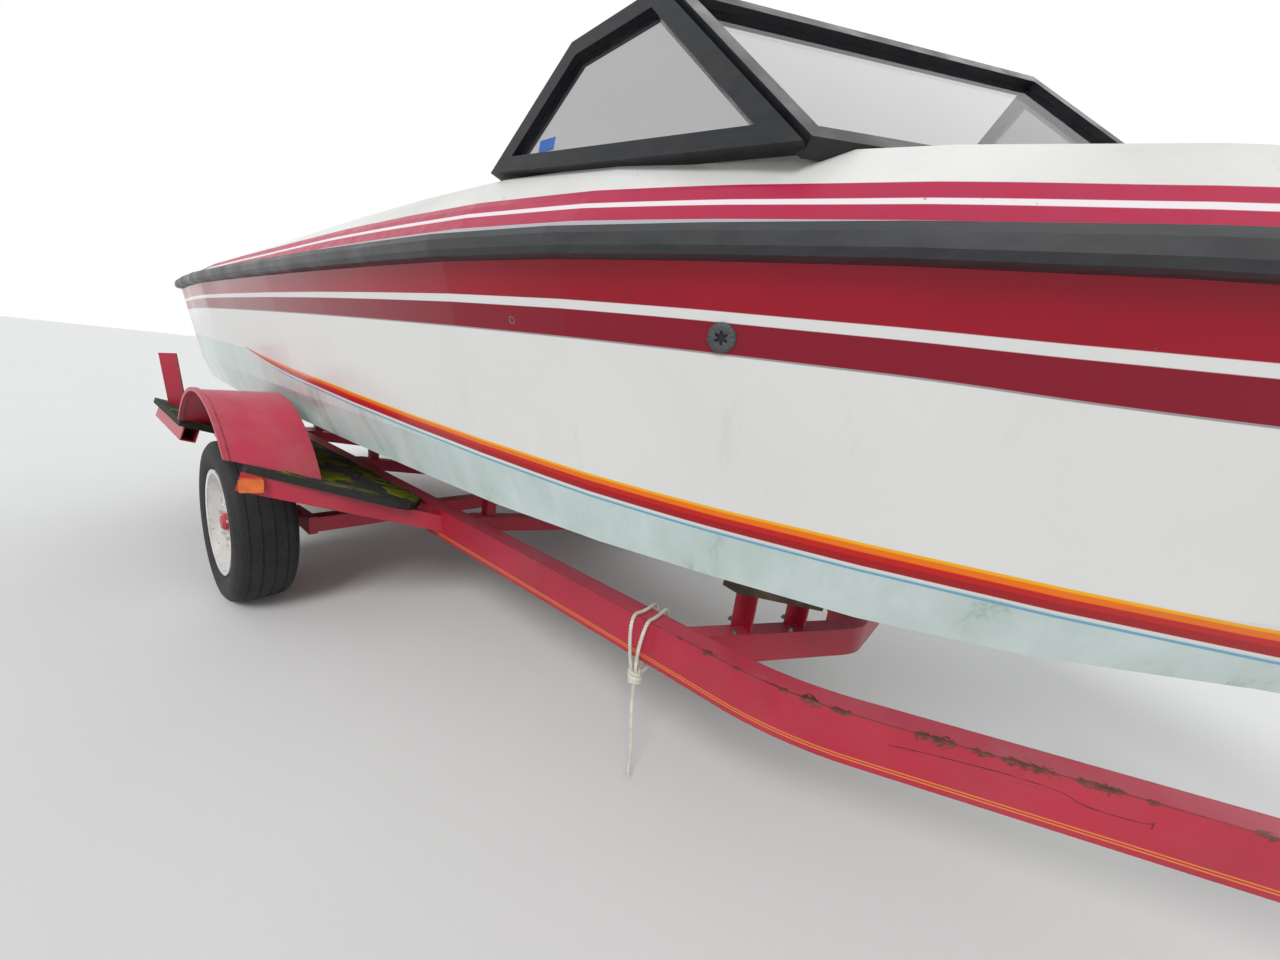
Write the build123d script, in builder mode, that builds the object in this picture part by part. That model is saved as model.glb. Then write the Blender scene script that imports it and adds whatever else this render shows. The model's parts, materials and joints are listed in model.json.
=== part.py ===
"""Closed-bow sterndrive speedboat standing on its single-axle road trailer.

Millimetres. +X points to the bow and the trailer's coupling, +Y to port, +Z up.
The origin is on the ground, under the middle of the whole length and width.
"""
import os
from math import atan2, cos, pi, radians, sin, sqrt, tan

from build123d import *

os.makedirs("parts", exist_ok=True)

GAP = 0.3                   # stand-off of faces that would touch
PIN_FIT = 0.05              # radial room of a pin in its bore

# Places along the length, told from the axle; the drive's reach ends at the propeller's nut
NOSE = 4600.0               # fore end of the coupling
TRANSOM_BACK = 1830.0
BOW = 3710.0
TRANSOM_TOP = 1215.0
TRANSOM_RAKE = 12.0
DRIVE_Z = 760.0             # height of the trim pin
GEAR_Z = 390.0              # height of the propeller's shaft
TRANSOM_SLOPE = (TRANSOM_TOP - DRIVE_Z) * tan(radians(TRANSOM_RAKE))
SWIVEL_OUT = 95.0           # steering axis aft of the transom
LEG_OUT = 200.0             # middle of the drive leg aft of the steering axis
GEAR_BACK = 150.0           # aft end of the gearcase from the leg's middle
BLADE_BACK = 86.7           # blades aft of the gearcase
NUT_BACK = 75.0             # nut's end aft of the blades
PROP_END = TRANSOM_BACK - TRANSOM_SLOPE + SWIVEL_OUT + LEG_OUT + GEAR_BACK + BLADE_BACK + NUT_BACK
AXLE_X = (PROP_END - NOSE) / 2

# Driving sizes of the trailer
RAIL_Y = 585.0              # middle of a main rail
RAIL_W = 60.0
RAIL_H = 115.0
RAIL_WALL = 4.0
RAIL_TOP = 460.0
RAIL_AFT_X = AXLE_X - 1500.0
RAIL_BEND_X = AXLE_X + 2000.0
RAIL_BEND_R = 700.0
DRAWBAR_W = 80.0
DRAWBAR_H = 100.0
DRAWBAR_TOP = RAIL_TOP - (RAIL_H - DRAWBAR_H) / 2
DRAWBAR_AFT_X = AXLE_X + 2900.0
DRAWBAR_FORE_X = AXLE_X + 4350.0
TONGUE_X = AXLE_X + 3216.0  # where the starboard rail ends beside the drawbar
TONGUE_Y = 70.0             # middle of the rail there
CROSS = 60.0                # cross member's square section
CROSS_Z = 400.0             # its middle at the rails
CROSS_DIP = 80.0            # how far it dips under the keel
CROSS_WALL = 4.0
CROSS_X = [-1300.0, -450.0, 650.0]
HOOP_X = AXLE_X + 2005.0    # middle stretch of the front cross member, under the keel
HOOP_HALF = 140.0           # half its length
HOOP_SWEEP = 268.0          # how far aft of it the slanted ends meet the rails
HOOP_W = 50.0
HOOP_H = 80.0
HOOP_TOP = RAIL_TOP - 5.0
PORT_END_X = HOOP_X - HOOP_SWEEP + 65.0   # the port rail stops at the front cross member
TYRE_R = 310.0
TYRE_W = 195.0
RIM_R = 202.0
WHEEL_Y = 1075.0
SPINDLE_R = 17.5
FENDER_R = 525.0
FENDER_W = 240.0
FENDER_T = 3.0
STEP_T = 25.0
BEAM = 60.0                 # square axle beam
BEAM_X = AXLE_X + 130.0
JACK_X = AXLE_X + 3980.0
JACK_R = 30.0
JACK_Y = DRAWBAR_W / 2 + JACK_R + 12.0
JACK_WHEEL_R = 100.0
JACK_TRAIL = 55.0
POST_FOOT_X = AXLE_X + 3790.0
ROLLER_R = 35.0
BUNK_Y = 430.0
BUNK_W = 90.0
BUNK_T = 40.0

# Driving sizes of the boat
TRANSOM_X = AXLE_X - TRANSOM_BACK
TRANSOM_T = 40.0
WALL = 8.0
RUB_T = 26.0
COCKPIT_AFT_X = TRANSOM_X + 980.0
COCKPIT_HALF = 770.0
COCKPIT_SIDE_X = AXLE_X + 1830.0   # forward end of the cockpit at its sides
COCKPIT_NOSE_X = AXLE_X + 2230.0   # forward end of the cockpit on the centre line
LINER_T = 10.0
FLOOR_Z = 800.0
HATCH_AFT_X = TRANSOM_X + 150.0
HATCH_FORE_X = TRANSOM_X + 915.0
HATCH_HALF = 560.0
HATCH_GAP = 6.0
SCREEN_X = AXLE_X + 1933.0         # base of the windscreen's corner pillar
SCREEN_Y = 832.0
SCREEN_Z = 1392.0
POST_X = AXLE_X + 2402.0           # base of the centre post
POST_Z = 1536.0
RAKE = 320.0                       # how far the windscreen's top lies aft of its base
SCREEN_H = 297.0
WING_X = AXLE_X + 1263.0           # aft foot of the wing
WING_Z = 1426.0
WING_LEAN = 163.0                  # how far the wing's aft corner lies forward of its foot
WING_H = 220.0
FRAME_W = 30.0
PANE_T = 6.0
ENGINE_X0 = TRANSOM_X + 280.0
ENGINE_X1 = TRANSOM_X + 780.0
ENGINE_HALF = 135.0
ENGINE_Z0 = 560.0
ENGINE_Z1 = 830.0
BEARER_Y = 105.0
BEARER_W = 50.0

# Hull stations: distance from the axle, then half widths and heights
HULL = [
    # x, sheer_y, sheer_z, knuckle_y, knuckle_z, chine_y, chine_z, keel_z
    (-TRANSOM_BACK, 968, 1214, 900, 820, 858, 700, 445),
    (-900, 1028, 1225, 943, 825, 896, 702, 440),
    (200, 1039, 1234, 945, 832, 888, 708, 440),
    (1300, 1016, 1244, 895, 828, 842, 702, 450),
    (2100, 862, 1248, 715, 815, 645, 690, 490),
    (2800, 618, 1240, 460, 895, 388, 780, 610),
    (3350, 350, 1250, 195, 1045, 145, 985, 840),
    (3560, 193, 1256, 92, 1145, 64, 1102, 1010),
    (BOW, 16, 1262, 10, 1235, 6, 1220, 1200),
]
# Deck stations: distance from the axle, then how far in from the sheer and up over it
DECK = [
    # x, band_in, band_up, shoulder_in, shoulder_up, crown_up
    (-TRANSOM_BACK, 48, 58, 118, 78, 92),
    (-900, 57, 76, 132, 110, 128),
    (200, 65, 90, 137, 145, 166),
    (1300, 67, 95, 138, 172, 212),
    (2100, 65, 95, 125, 158, 285),
    (2800, 57, 80, 112, 122, 210),
    (3350, 42, 56, 84, 82, 122),
    (3560, 28, 38, 55, 55, 76),
    (BOW, 3, 8, 6, 12, 16),
]
# Where the lofts have a section, from the axle; closer where the bow turns in
STATIONS = [-TRANSOM_BACK, -1370, -900, -350, 200, 650, 1000, 1300, 1600, 1850, 2100, 2350, 2580,
            2800, 3000, 3190, 3350, 3470, 3560, 3640, 3690, BOW]


def save(part, label):
    """Name a finished piece and write it as one STEP file."""
    part.label = label
    export_step(part, f"parts/{label}.step")


def across(x):
    """Plane square to the boat at x, with local x to port and local y up."""
    return Plane(origin=(x, 0, 0), x_dir=(0, 1, 0), z_dir=(1, 0, 0))


def faired(rows, places):
    """Rows at these places, each column a smooth curve through the table's rows."""
    def slope(i, column):
        """Slope of a column's curve at row i, level at a turning point."""
        steps = []
        for j in (i - 1, i):
            if 0 <= j < len(rows) - 1:
                steps.append((rows[j + 1][column] - rows[j][column]) / (rows[j + 1][0] - rows[j][0]))
        if steps[0] * steps[-1] <= 0:
            return 0.0
        return 2 * steps[0] * steps[-1] / (steps[0] + steps[-1])

    result = []
    for x in places:
        i = max(j for j in range(len(rows) - 1) if rows[j][0] <= x)
        span = rows[i + 1][0] - rows[i][0]
        t = (x - rows[i][0]) / span
        row = [x]
        for column in range(1, len(rows[0])):
            a, b = rows[i][column], rows[i + 1][column]
            row.append(a * (1 + 2 * t) * (1 - t) ** 2 + b * t * t * (3 - 2 * t)
                       + span * (slope(i, column) * t * (1 - t) ** 2 - slope(i + 1, column) * t * t * (1 - t)))
        result.append(row)
    return result


def hull_solid(wall, lift):
    """Solid hull form; wall draws it in and lift raises its open top."""
    with BuildPart() as form:
        for x, sy, sz, ky, kz, cy, cz, keel in faired(HULL, STATIONS):
            inset = wall * min(1.0, sy / 200)
            side = [(cy - inset, cz + inset * 0.4), (ky - inset, kz), (sy - inset, sz)]
            if lift:
                side.append((sy - inset, sz + lift))
            bottom = (0, keel + inset * 1.3)
            mirrored = [(-y, z) for y, z in reversed(side)]
            with BuildSketch(across(AXLE_X + x)):
                with BuildLine():
                    Polyline(bottom, *side, *mirrored, bottom)
                make_face()
        loft(ruled=True)
    return form.part


def deck_solid(wall, drop):
    """Solid deck form; wall draws it in and drop lowers its underside."""
    with BuildPart() as form:
        for hull_row, deck_row in zip(faired(HULL, STATIONS), faired(DECK, STATIONS)):
            x, sy, sz = hull_row[:3]
            band_in, band_up, sh_in, sh_up, crown = deck_row[1:]
            inset = wall * min(1.0, sy / 200)
            foot = (sy - inset, sz - drop)
            band = (sy - band_in - inset, sz + band_up - inset * 0.5)
            edge = (sy - sh_in - inset, sz + sh_up - inset)
            with BuildSketch(across(AXLE_X + x)):
                with BuildLine():
                    Polyline((-edge[0], edge[1]), (-band[0], band[1]), (-foot[0], foot[1]),
                             foot, band, edge)
                    ThreePointArc(edge, (0, sz + crown - inset), (-edge[0], edge[1]))
                make_face()
        loft(ruled=True)
    return form.part


def transom_wedge(thickness):
    """Everything aft of the raked transom's face, or of its inside at this thickness."""
    low, high = 300.0, 1600.0
    lean = tan(radians(TRANSOM_RAKE))
    with BuildPart() as wedge:
        with BuildSketch(Plane.XZ):
            with BuildLine():
                Polyline(
                    (TRANSOM_X + thickness + (TRANSOM_TOP - low) * lean, low),
                    (TRANSOM_X + thickness + (TRANSOM_TOP - high) * lean, high),
                    (TRANSOM_X - 300, high), (TRANSOM_X - 300, low), close=True)
            make_face()
        extrude(amount=1300, both=True)
    return wedge.part


def hollow(outer, inner):
    """Outer form with the inner form taken out of it."""
    with BuildPart() as shell:
        add(outer)
        add(inner, mode=Mode.SUBTRACT)
    return shell.part


def block(x0, x1, y0, y1, z0, z1):
    """Box between two corners."""
    with BuildPart() as solid:
        with BuildSketch(Plane.XY.offset(z0)):
            with Locations(((x0 + x1) / 2, (y0 + y1) / 2)):
                Rectangle(abs(x1 - x0), abs(y1 - y0))
        extrude(amount=z1 - z0)
    return solid.part


def bar(start, end, width, height, up=(0, 0, 1)):
    """Solid bar of a rectangular section between two points."""
    run = Vector(*end) - Vector(*start)
    side = Vector(*up).cross(run)
    with BuildPart() as rod:
        with BuildSketch(Plane(origin=start, x_dir=side, z_dir=run)):
            Rectangle(width, height)
        extrude(amount=run.length)
    return rod.part


def tube(start, end, radius, bore=0.0):
    """Round bar or pipe between two points."""
    run = Vector(*end) - Vector(*start)
    with BuildPart() as rod:
        with BuildSketch(Plane(origin=start, z_dir=run)):
            Circle(radius)
            if bore:
                Circle(bore, mode=Mode.SUBTRACT)
        extrude(amount=run.length)
    return rod.part


# Hull: a shell of even wall with a closed, raked transom and two bearers for the engine
hull_outer = hull_solid(0, 0)
transom_cut = transom_wedge(0)
hull_inner = hull_solid(WALL, 60) - transom_wedge(TRANSOM_T)


def engine_bearer(side):
    """Moulded beam on the hull's bottom that carries one side of the engine."""
    inner, outer = BEARER_Y - BEARER_W / 2, BEARER_Y + BEARER_W / 2
    with BuildPart() as beam:
        add(block(ENGINE_X0 - 150, ENGINE_X1 + 200, side * inner, side * outer, 400, ENGINE_Z0 - GAP))
        add(hull_outer, mode=Mode.INTERSECT)
    return beam.part


with BuildPart() as hull:
    add(hull_outer)
    add(transom_cut, mode=Mode.SUBTRACT)
    add(hull_inner, mode=Mode.SUBTRACT)
    for side in (-1, 1):
        add(engine_bearer(side))
save(hull.part, "hull")

# Deck: a shell with the cockpit and the engine hatch cut out of it
deck_outer = deck_solid(0, 0)
COCKPIT_TURN_X = COCKPIT_SIDE_X - 530.0   # where the cockpit's sides start to draw in
COCKPIT_DRAW = 130.0                      # how much they draw in
HATCH_R = 40.0


def cockpit_prism(inset, low, high):
    """Plan of the cockpit, drawn in by inset, as an upright prism."""
    half = COCKPIT_HALF - inset
    shoulder = half - COCKPIT_DRAW
    with BuildPart() as prism:
        with BuildSketch(Plane.XY.offset(low)):
            with BuildLine():
                Polyline(
                    (COCKPIT_AFT_X + inset, -half), (COCKPIT_TURN_X, -half),
                    (COCKPIT_SIDE_X - inset, -shoulder), (COCKPIT_NOSE_X - inset, 0),
                    (COCKPIT_SIDE_X - inset, shoulder), (COCKPIT_TURN_X, half),
                    (COCKPIT_AFT_X + inset, half), close=True)
            make_face()
        extrude(amount=high - low)
    return prism.part


def hatch_prism(inset, low, high):
    """Plan of the engine hatch, drawn in by inset, as an upright prism."""
    with BuildPart() as prism:
        with BuildSketch(Plane.XY.offset(low)):
            with Locations(((HATCH_AFT_X + HATCH_FORE_X) / 2, 0)):
                RectangleRounded(HATCH_FORE_X - HATCH_AFT_X - 2 * inset, 2 * (HATCH_HALF - inset), HATCH_R)
        extrude(amount=high - low)
    return prism.part


with BuildPart() as deck:
    add(deck_outer)
    add(deck_solid(WALL, 60) - block(TRANSOM_X - 9, TRANSOM_X + TRANSOM_T - 10, -1200, 1200, 1100, 1500),
        mode=Mode.SUBTRACT)
    add(cockpit_prism(0, 1000, 1800), mode=Mode.SUBTRACT)
    add(hatch_prism(0, 1000, 1800), mode=Mode.SUBTRACT)
save(deck.part, "deck")

# Cockpit liner: floor and walls, trimmed flush with the deck
with BuildPart() as liner:
    add(cockpit_prism(GAP, FLOOR_Z - LINER_T, 1700))
    add(cockpit_prism(GAP + LINER_T, FLOOR_Z, 1701), mode=Mode.SUBTRACT)
    add(deck_solid(0, 600), mode=Mode.INTERSECT)
save(liner.part, "cockpit_liner")

# Rub rail: a rounded bead over the joint of hull and deck, from the sheer outward and up
RUB_PROFILE = [(8, -20), (19, -17), (RUB_T, -7), (RUB_T, 11), (19, 23), (6, 27)]
with BuildPart() as rub_rail:
    for hull_row in faired(HULL, STATIONS):
        x, sheer_y, sheer_z = hull_row[:3]
        bead = [(sheer_y + out, sheer_z + up) for out, up in RUB_PROFILE]
        mirrored = [(-y, z) for y, z in reversed(bead)]
        with BuildSketch(across(AXLE_X + x)):
            with BuildLine():
                Polyline(*bead, *mirrored, close=True)
            make_face()
    loft(ruled=True)
    add(hull_outer, mode=Mode.SUBTRACT)
    add(deck_outer, mode=Mode.SUBTRACT)
save(rub_rail.part, "rub_rail")

# Dash: a shelf under the windscreen with a sloped fascia, drawn as (forward of the fascia, height)
FASCIA_X = AXLE_X + 1470.0
DASH_FOOT_Z = 1180.0
DASH_TOP_Z = 1365.0
DASH_T = 30.0
DASH_DEPTH = COCKPIT_NOSE_X - FASCIA_X
DASH_OUTLINE = [
    (20, DASH_FOOT_Z), (0, DASH_TOP_Z - 75), (70, DASH_TOP_Z),
    (DASH_DEPTH, DASH_TOP_Z + 35), (DASH_DEPTH, DASH_TOP_Z + 35 - DASH_T),
    (90, DASH_TOP_Z - DASH_T), (DASH_T, DASH_TOP_Z - 85), (20 + DASH_T, DASH_FOOT_Z),
]
with BuildPart() as dash:
    with BuildSketch(Plane.XZ):
        with BuildLine():
            Polyline(*[(FASCIA_X + fore, z) for fore, z in DASH_OUTLINE], close=True)
        make_face()
    extrude(amount=COCKPIT_HALF, both=True)
    add(cockpit_prism(GAP + LINER_T, FLOOR_Z, 1700), mode=Mode.INTERSECT)
save(dash.part, "dash")

# The helm stands in front of the starboard seat
HELM_X = FASCIA_X - 70.0
HELM_Y = -330.0
HELM_Z = DASH_TOP_Z - 75.0
HELM_R = 175.0
HELM_RIM_R = 13.0
HELM_TILT = 25.0
COLUMN_R = 12.0

# Instruments: a hood over the gauges and a compass cup, both standing on the dash
HOOD_W = 330.0
HOOD_H = 130.0
HOOD_L = 150.0
COMPASS_R = 46.0
with BuildPart() as hood:
    with BuildSketch(across(FASCIA_X + 90)):
        with Locations((HELM_Y, DASH_TOP_Z + 20)):
            RectangleRounded(HOOD_W, HOOD_H, 50)
    extrude(amount=HOOD_L)
    add(block(FASCIA_X - 70, FASCIA_X + 430, HELM_Y - HOOD_W, HELM_Y + HOOD_W, DASH_FOOT_Z, DASH_TOP_Z - 15),
        mode=Mode.SUBTRACT)
    add(dash.part, mode=Mode.SUBTRACT)
with BuildPart() as compass:
    with BuildSketch(Plane.XY.offset(DASH_TOP_Z - 5)):
        with Locations((FASCIA_X + 250, HELM_Y + 210)):
            Circle(COMPASS_R)
    extrude(amount=100, taper=4)
    add(dash.part, mode=Mode.SUBTRACT)
instruments = [piece.part.solids().sort_by(Axis.Z)[-1] for piece in (hood, compass)]
save(Compound(children=instruments), "instruments")

# Steering wheel: rim, three spokes, hub and the column it turns on
helm_axis = Vector(-cos(radians(HELM_TILT)), 0, sin(radians(HELM_TILT)))
helm_plane = Plane(origin=(HELM_X, HELM_Y, HELM_Z), x_dir=(0, 1, 0), z_dir=helm_axis)
COLUMN_END = -62.0          # along the column from the rim's plane
BOSS_R = 32.0
BOSS_END = -50.0
with BuildPart() as steering_wheel:
    with BuildSketch(Plane(origin=helm_plane.origin, x_dir=helm_plane.x_dir, z_dir=helm_plane.y_dir)):
        with Locations((HELM_R - HELM_RIM_R, 0)):
            Circle(HELM_RIM_R)
    revolve(axis=Axis(helm_plane.origin, helm_axis))
    with BuildSketch(helm_plane.offset(-9)):
        Circle(38)
        with PolarLocations(HELM_R / 2 - 2.5, 3, start_angle=30):
            Rectangle(HELM_R - 10, 2 * HELM_RIM_R)
    extrude(amount=12)
    with BuildSketch(helm_plane.offset(COLUMN_END)):
        Circle(COLUMN_R)
    extrude(amount=-COLUMN_END - 2)
save(steering_wheel.part, "steering_wheel")

# Steering column's boss on the dash fascia
with BuildPart() as helm_boss:
    with BuildSketch(helm_plane.offset(BOSS_END - 80)):
        Circle(BOSS_R)
    extrude(amount=80)
    with BuildSketch(helm_plane.offset(COLUMN_END - 2)):
        Circle(COLUMN_R + PIN_FIT)
    extrude(amount=20, mode=Mode.SUBTRACT)
    add(dash.part, mode=Mode.SUBTRACT)
save(helm_boss.part.solids().sort_by(Axis.X)[0], "helm_boss")

# Engine: one plain block of the motor's mass on the two bearers
with BuildPart() as engine:
    add(block(ENGINE_X0, ENGINE_X1, -ENGINE_HALF, ENGINE_HALF, ENGINE_Z0, ENGINE_Z1))
save(engine.part, "engine")

# Seat bases: one under each lounge seat and one across under the aft bench
LOUNGE_X0 = AXLE_X + 230.0
LOUNGE_X1 = AXLE_X + 1130.0
SEAT_Y = 370.0
SEAT_W = 440.0
SEAT_LAP = 20.0             # how far a cushion stands out over its base
BASE_H = 170.0
BENCH_HALF = COCKPIT_HALF - LINER_T - 5
BENCH_BASE_H = 180.0
BENCH_DEPTH = 420.0


def moulded_base(x0, x1, y0, y1, height):
    """Box with a thin wall and an open underside, standing on the cockpit floor."""
    with BuildPart() as base:
        add(block(x0, x1, y0, y1, FLOOR_Z, FLOOR_Z + height))
        add(block(x0 + LINER_T, x1 - LINER_T, y0 + LINER_T, y1 - LINER_T, FLOOR_Z - 1, FLOOR_Z + height - LINER_T),
            mode=Mode.SUBTRACT)
    return base.part


with BuildPart() as seat_bases:
    for side in (-1, 1):
        inner, outer = SEAT_Y - SEAT_W / 2 + SEAT_LAP, SEAT_Y + SEAT_W / 2 - SEAT_LAP
        add(moulded_base(LOUNGE_X0, LOUNGE_X1, *sorted((side * inner, side * outer)), BASE_H))
    add(moulded_base(COCKPIT_AFT_X + LINER_T + 1, COCKPIT_AFT_X + BENCH_DEPTH, -BENCH_HALF, BENCH_HALF, BENCH_BASE_H))
save(seat_bases.part, "seat_bases")

# Lounge seats: two back-to-back pairs, each two cushions with a shared back between them
CUSHION_T = 110.0
BACK_H = 380.0
BACK_X = (LOUNGE_X0 + LOUNGE_X1) / 2
SEAT_OUTLINE = [
    # forward of the back's middle, then up from the base
    (-450 - SEAT_LAP, 0), (450 + SEAT_LAP, 0), (450 + SEAT_LAP, CUSHION_T), (80, CUSHION_T - 20),
    (30, BACK_H), (-30, BACK_H), (-80, CUSHION_T - 20), (-450 - SEAT_LAP, CUSHION_T),
]


def lounge(side):
    """One back-to-back seat."""
    base_top = FLOOR_Z + BASE_H + GAP
    with BuildPart() as seat:
        with BuildSketch(Plane.XZ.offset(-side * SEAT_Y - SEAT_W / 2)):
            with BuildLine():
                Polyline(*[(BACK_X + fore, base_top + up) for fore, up in SEAT_OUTLINE], close=True)
            make_face()
        extrude(amount=SEAT_W)
        fillet(seat.edges().filter_by(Axis.Y), 20)
    return seat.part


save(Compound(children=[lounge(1), lounge(-1)]), "lounge_seats")

# Aft bench: its outline forward of the cockpit's aft end and up from its base
BENCH_OUTLINE = [
    (12, 0), (BENCH_DEPTH + SEAT_LAP, 0), (BENCH_DEPTH + SEAT_LAP, CUSHION_T), (130, CUSHION_T - 20),
    (90, 320), (12, 320),
]
with BuildPart() as bench:
    with BuildSketch(Plane.XZ.offset(10 - BENCH_HALF)):
        with BuildLine():
            Polyline(*[(COCKPIT_AFT_X + fore, FLOOR_Z + BENCH_BASE_H + GAP + up) for fore, up in BENCH_OUTLINE],
                     close=True)
        make_face()
    extrude(amount=2 * BENCH_HALF - 20)
    fillet(bench.edges().filter_by(Axis.Y), 15)
save(bench.part, "aft_bench")

# Engine hatch lid with its sun pad
LID_RISE = 6.0
LID_T = 22.0
PAD_T = 50.0


def raised_deck(rise):
    """The deck's form lifted by this much."""
    return deck_outer.moved(Location((0, 0, rise)))


# The hinges: a knuckle on the lid turns on a pin held by two ears on the deck
PIN_R = 5.0
HINGE_X = HATCH_AFT_X - 14
HINGE_Z = TRANSOM_TOP + 112
HINGE_Y = [-380.0, 380.0]
with BuildPart() as hatch_lid:
    add(hatch_prism(HATCH_GAP, 1250, 1800))
    add(raised_deck(LID_RISE), mode=Mode.INTERSECT)
    add(raised_deck(LID_RISE - LID_T), mode=Mode.SUBTRACT)
    for y in HINGE_Y:
        add(tube((HINGE_X, y - 25, HINGE_Z), (HINGE_X, y + 25, HINGE_Z), PIN_R + 5))
        add(block(HINGE_X, HINGE_X + 40, y - 25, y + 25, HINGE_Z - 14, HINGE_Z - 3))
        add(tube((HINGE_X, y - 26, HINGE_Z), (HINGE_X, y + 26, HINGE_Z), PIN_R + 0.05), mode=Mode.SUBTRACT)
save(hatch_lid.part, "hatch_lid")
with BuildPart() as hatch_hinges:
    for y in HINGE_Y:
        for side in (-1, 1):
            add(block(HINGE_X - 9, HINGE_X + 9, y + side * 31 - 5, y + side * 31 + 5, HINGE_Z - 60, HINGE_Z + 9))
        add(tube((HINGE_X, y - 36, HINGE_Z), (HINGE_X, y + 36, HINGE_Z), PIN_R))
    add(deck_outer, mode=Mode.SUBTRACT)
save(hatch_hinges.part, "hatch_hinges")
with BuildPart() as sun_pad:
    add(hatch_prism(30, 1250, 1800))
    add(raised_deck(LID_RISE + PAD_T), mode=Mode.INTERSECT)
    add(raised_deck(LID_RISE + GAP), mode=Mode.SUBTRACT)
save(sun_pad.part, "sun_pad")


# Windscreen: frames of flat bar round flat panes, two in front and a wing each side
def frame_loop(corners):
    """Frame members along the edges of a flat outline, and the pane inside it."""
    points = [Vector(*corner) for corner in corners]
    normal = (points[1] - points[0]).cross(points[2] - points[0]).normalized()
    plane = Plane(origin=points[0], x_dir=points[1] - points[0], z_dir=normal)
    flat = [plane.to_local_coords(point) for point in points]
    outline = [(point.X, point.Y) for point in flat]
    with BuildPart() as ring:
        with BuildSketch(plane.offset(-FRAME_W / 2)):
            with BuildLine():
                Polyline(*outline, close=True)
            make_face()
            offset(amount=-FRAME_W, kind=Kind.INTERSECTION, mode=Mode.SUBTRACT)
        extrude(amount=FRAME_W)
    with BuildPart() as pane:
        with BuildSketch(plane.offset(-PANE_T / 2)):
            with BuildLine():
                Polyline(*outline, close=True)
            make_face()
            offset(amount=-FRAME_W - GAP, kind=Kind.INTERSECTION, mode=Mode.REPLACE)
        extrude(amount=PANE_T)
    return ring.part, pane.part


def screen(side):
    """Front and wing outlines of one side of the windscreen."""
    foot = (SCREEN_X, side * SCREEN_Y, SCREEN_Z)
    head = (SCREEN_X - RAKE, side * (SCREEN_Y - 30), SCREEN_Z + SCREEN_H)
    post_foot = (POST_X, side * 4, POST_Z)
    wing_foot = (WING_X, side * (SCREEN_Y + 45), WING_Z)
    return foot, head, post_foot, wing_foot


def on_plane(a, b, c, x=None, y=None, z=None):
    """Point of the plane through a, b and c where two of its coordinates are given."""
    normal = (Vector(*b) - Vector(*a)).cross(Vector(*c) - Vector(*a))
    if x is None:
        return a[0] - (normal.Y * (y - a[1]) + normal.Z * (z - a[2])) / normal.X, y, z
    return x, a[1] - (normal.X * (x - a[0]) + normal.Z * (z - a[2])) / normal.Y, z


front_frames = []
front_panes = []
wing_frames = []
wing_panes = []
for side in (-1, 1):
    foot, head, post_foot, wing_foot = screen(side)
    post_head = on_plane(foot, head, post_foot, y=side * 4, z=POST_Z + SCREEN_H)
    wing_head = on_plane(foot, head, wing_foot, x=WING_X + WING_LEAN, z=WING_Z + WING_H)
    ring, pane = frame_loop([foot, post_foot, post_head, head])
    front_frames.append(ring)
    front_panes.append(pane)
    wing_ring, wing_pane = frame_loop([wing_foot, foot, head, wing_head])
    wing_panes.append(wing_pane)
    with BuildPart() as wing_frame:
        add(wing_ring)
        add(ring, mode=Mode.SUBTRACT)
        add(pane, mode=Mode.SUBTRACT)
    wing_frames.append(wing_frame.part.solids().sort_by(SortBy.VOLUME)[-1])
deck_seat = deck_solid(0, 300).moved(Location((0, 0, GAP)))
for pieces, label in ((front_panes + wing_panes, "screen_panes"), (wing_frames, "wing_frames"),
                      (front_frames, "screen_frame")):
    with BuildPart() as trimmed:
        for piece in pieces:
            add(piece)
        add(deck_seat, mode=Mode.SUBTRACT)
    save(trimmed.part, label)

# Sterndrive: housing on the transom, steering yoke, drive leg and propeller
lean = radians(TRANSOM_RAKE)
face_x = TRANSOM_X + TRANSOM_SLOPE
SWIVEL_X = face_x - SWIVEL_OUT  # the upright axis that the yoke steers about
PIVOT_R = 10.0
COLUMN_HALF = 105.0             # half height of the yoke's column
YOKE_COLUMN_R = 28.0
LUG_CLEAR = 5.0
LUG_T = 30.0
YOKE_Y = 88.0                   # inside of the yoke's cheeks
YOKE_T = 14.0
YOKE_HALF = 45.0                # half height of its cheeks
HEAD_R = 62.0                   # rounded front of the drive leg, about the trim pin
TRIM_X = SWIVEL_X - HEAD_R - 42.0
transom_plane = Plane(origin=(face_x, 0, DRIVE_Z), x_dir=(0, -1, 0), z_dir=(-cos(lean), 0, -sin(lean)))
with BuildPart() as drive_housing:
    with BuildSketch(transom_plane.offset(GAP)):
        RectangleRounded(310, 400, 60)
    extrude(amount=22)
    for z0 in (COLUMN_HALF + LUG_CLEAR, -COLUMN_HALF - LUG_CLEAR - LUG_T):
        with BuildSketch(Plane.XY.offset(DRIVE_Z + z0)):
            with Locations((SWIVEL_X, 0)):
                Circle(32)
            with Locations((SWIVEL_X + 60, 0)):
                Rectangle(120, 64)
        extrude(amount=LUG_T)
    add(transom_cut, mode=Mode.INTERSECT)
    add(tube((SWIVEL_X, 0, DRIVE_Z - 200), (SWIVEL_X, 0, DRIVE_Z + 200), PIVOT_R + PIN_FIT), mode=Mode.SUBTRACT)
save(drive_housing.part, "drive_housing")

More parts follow.
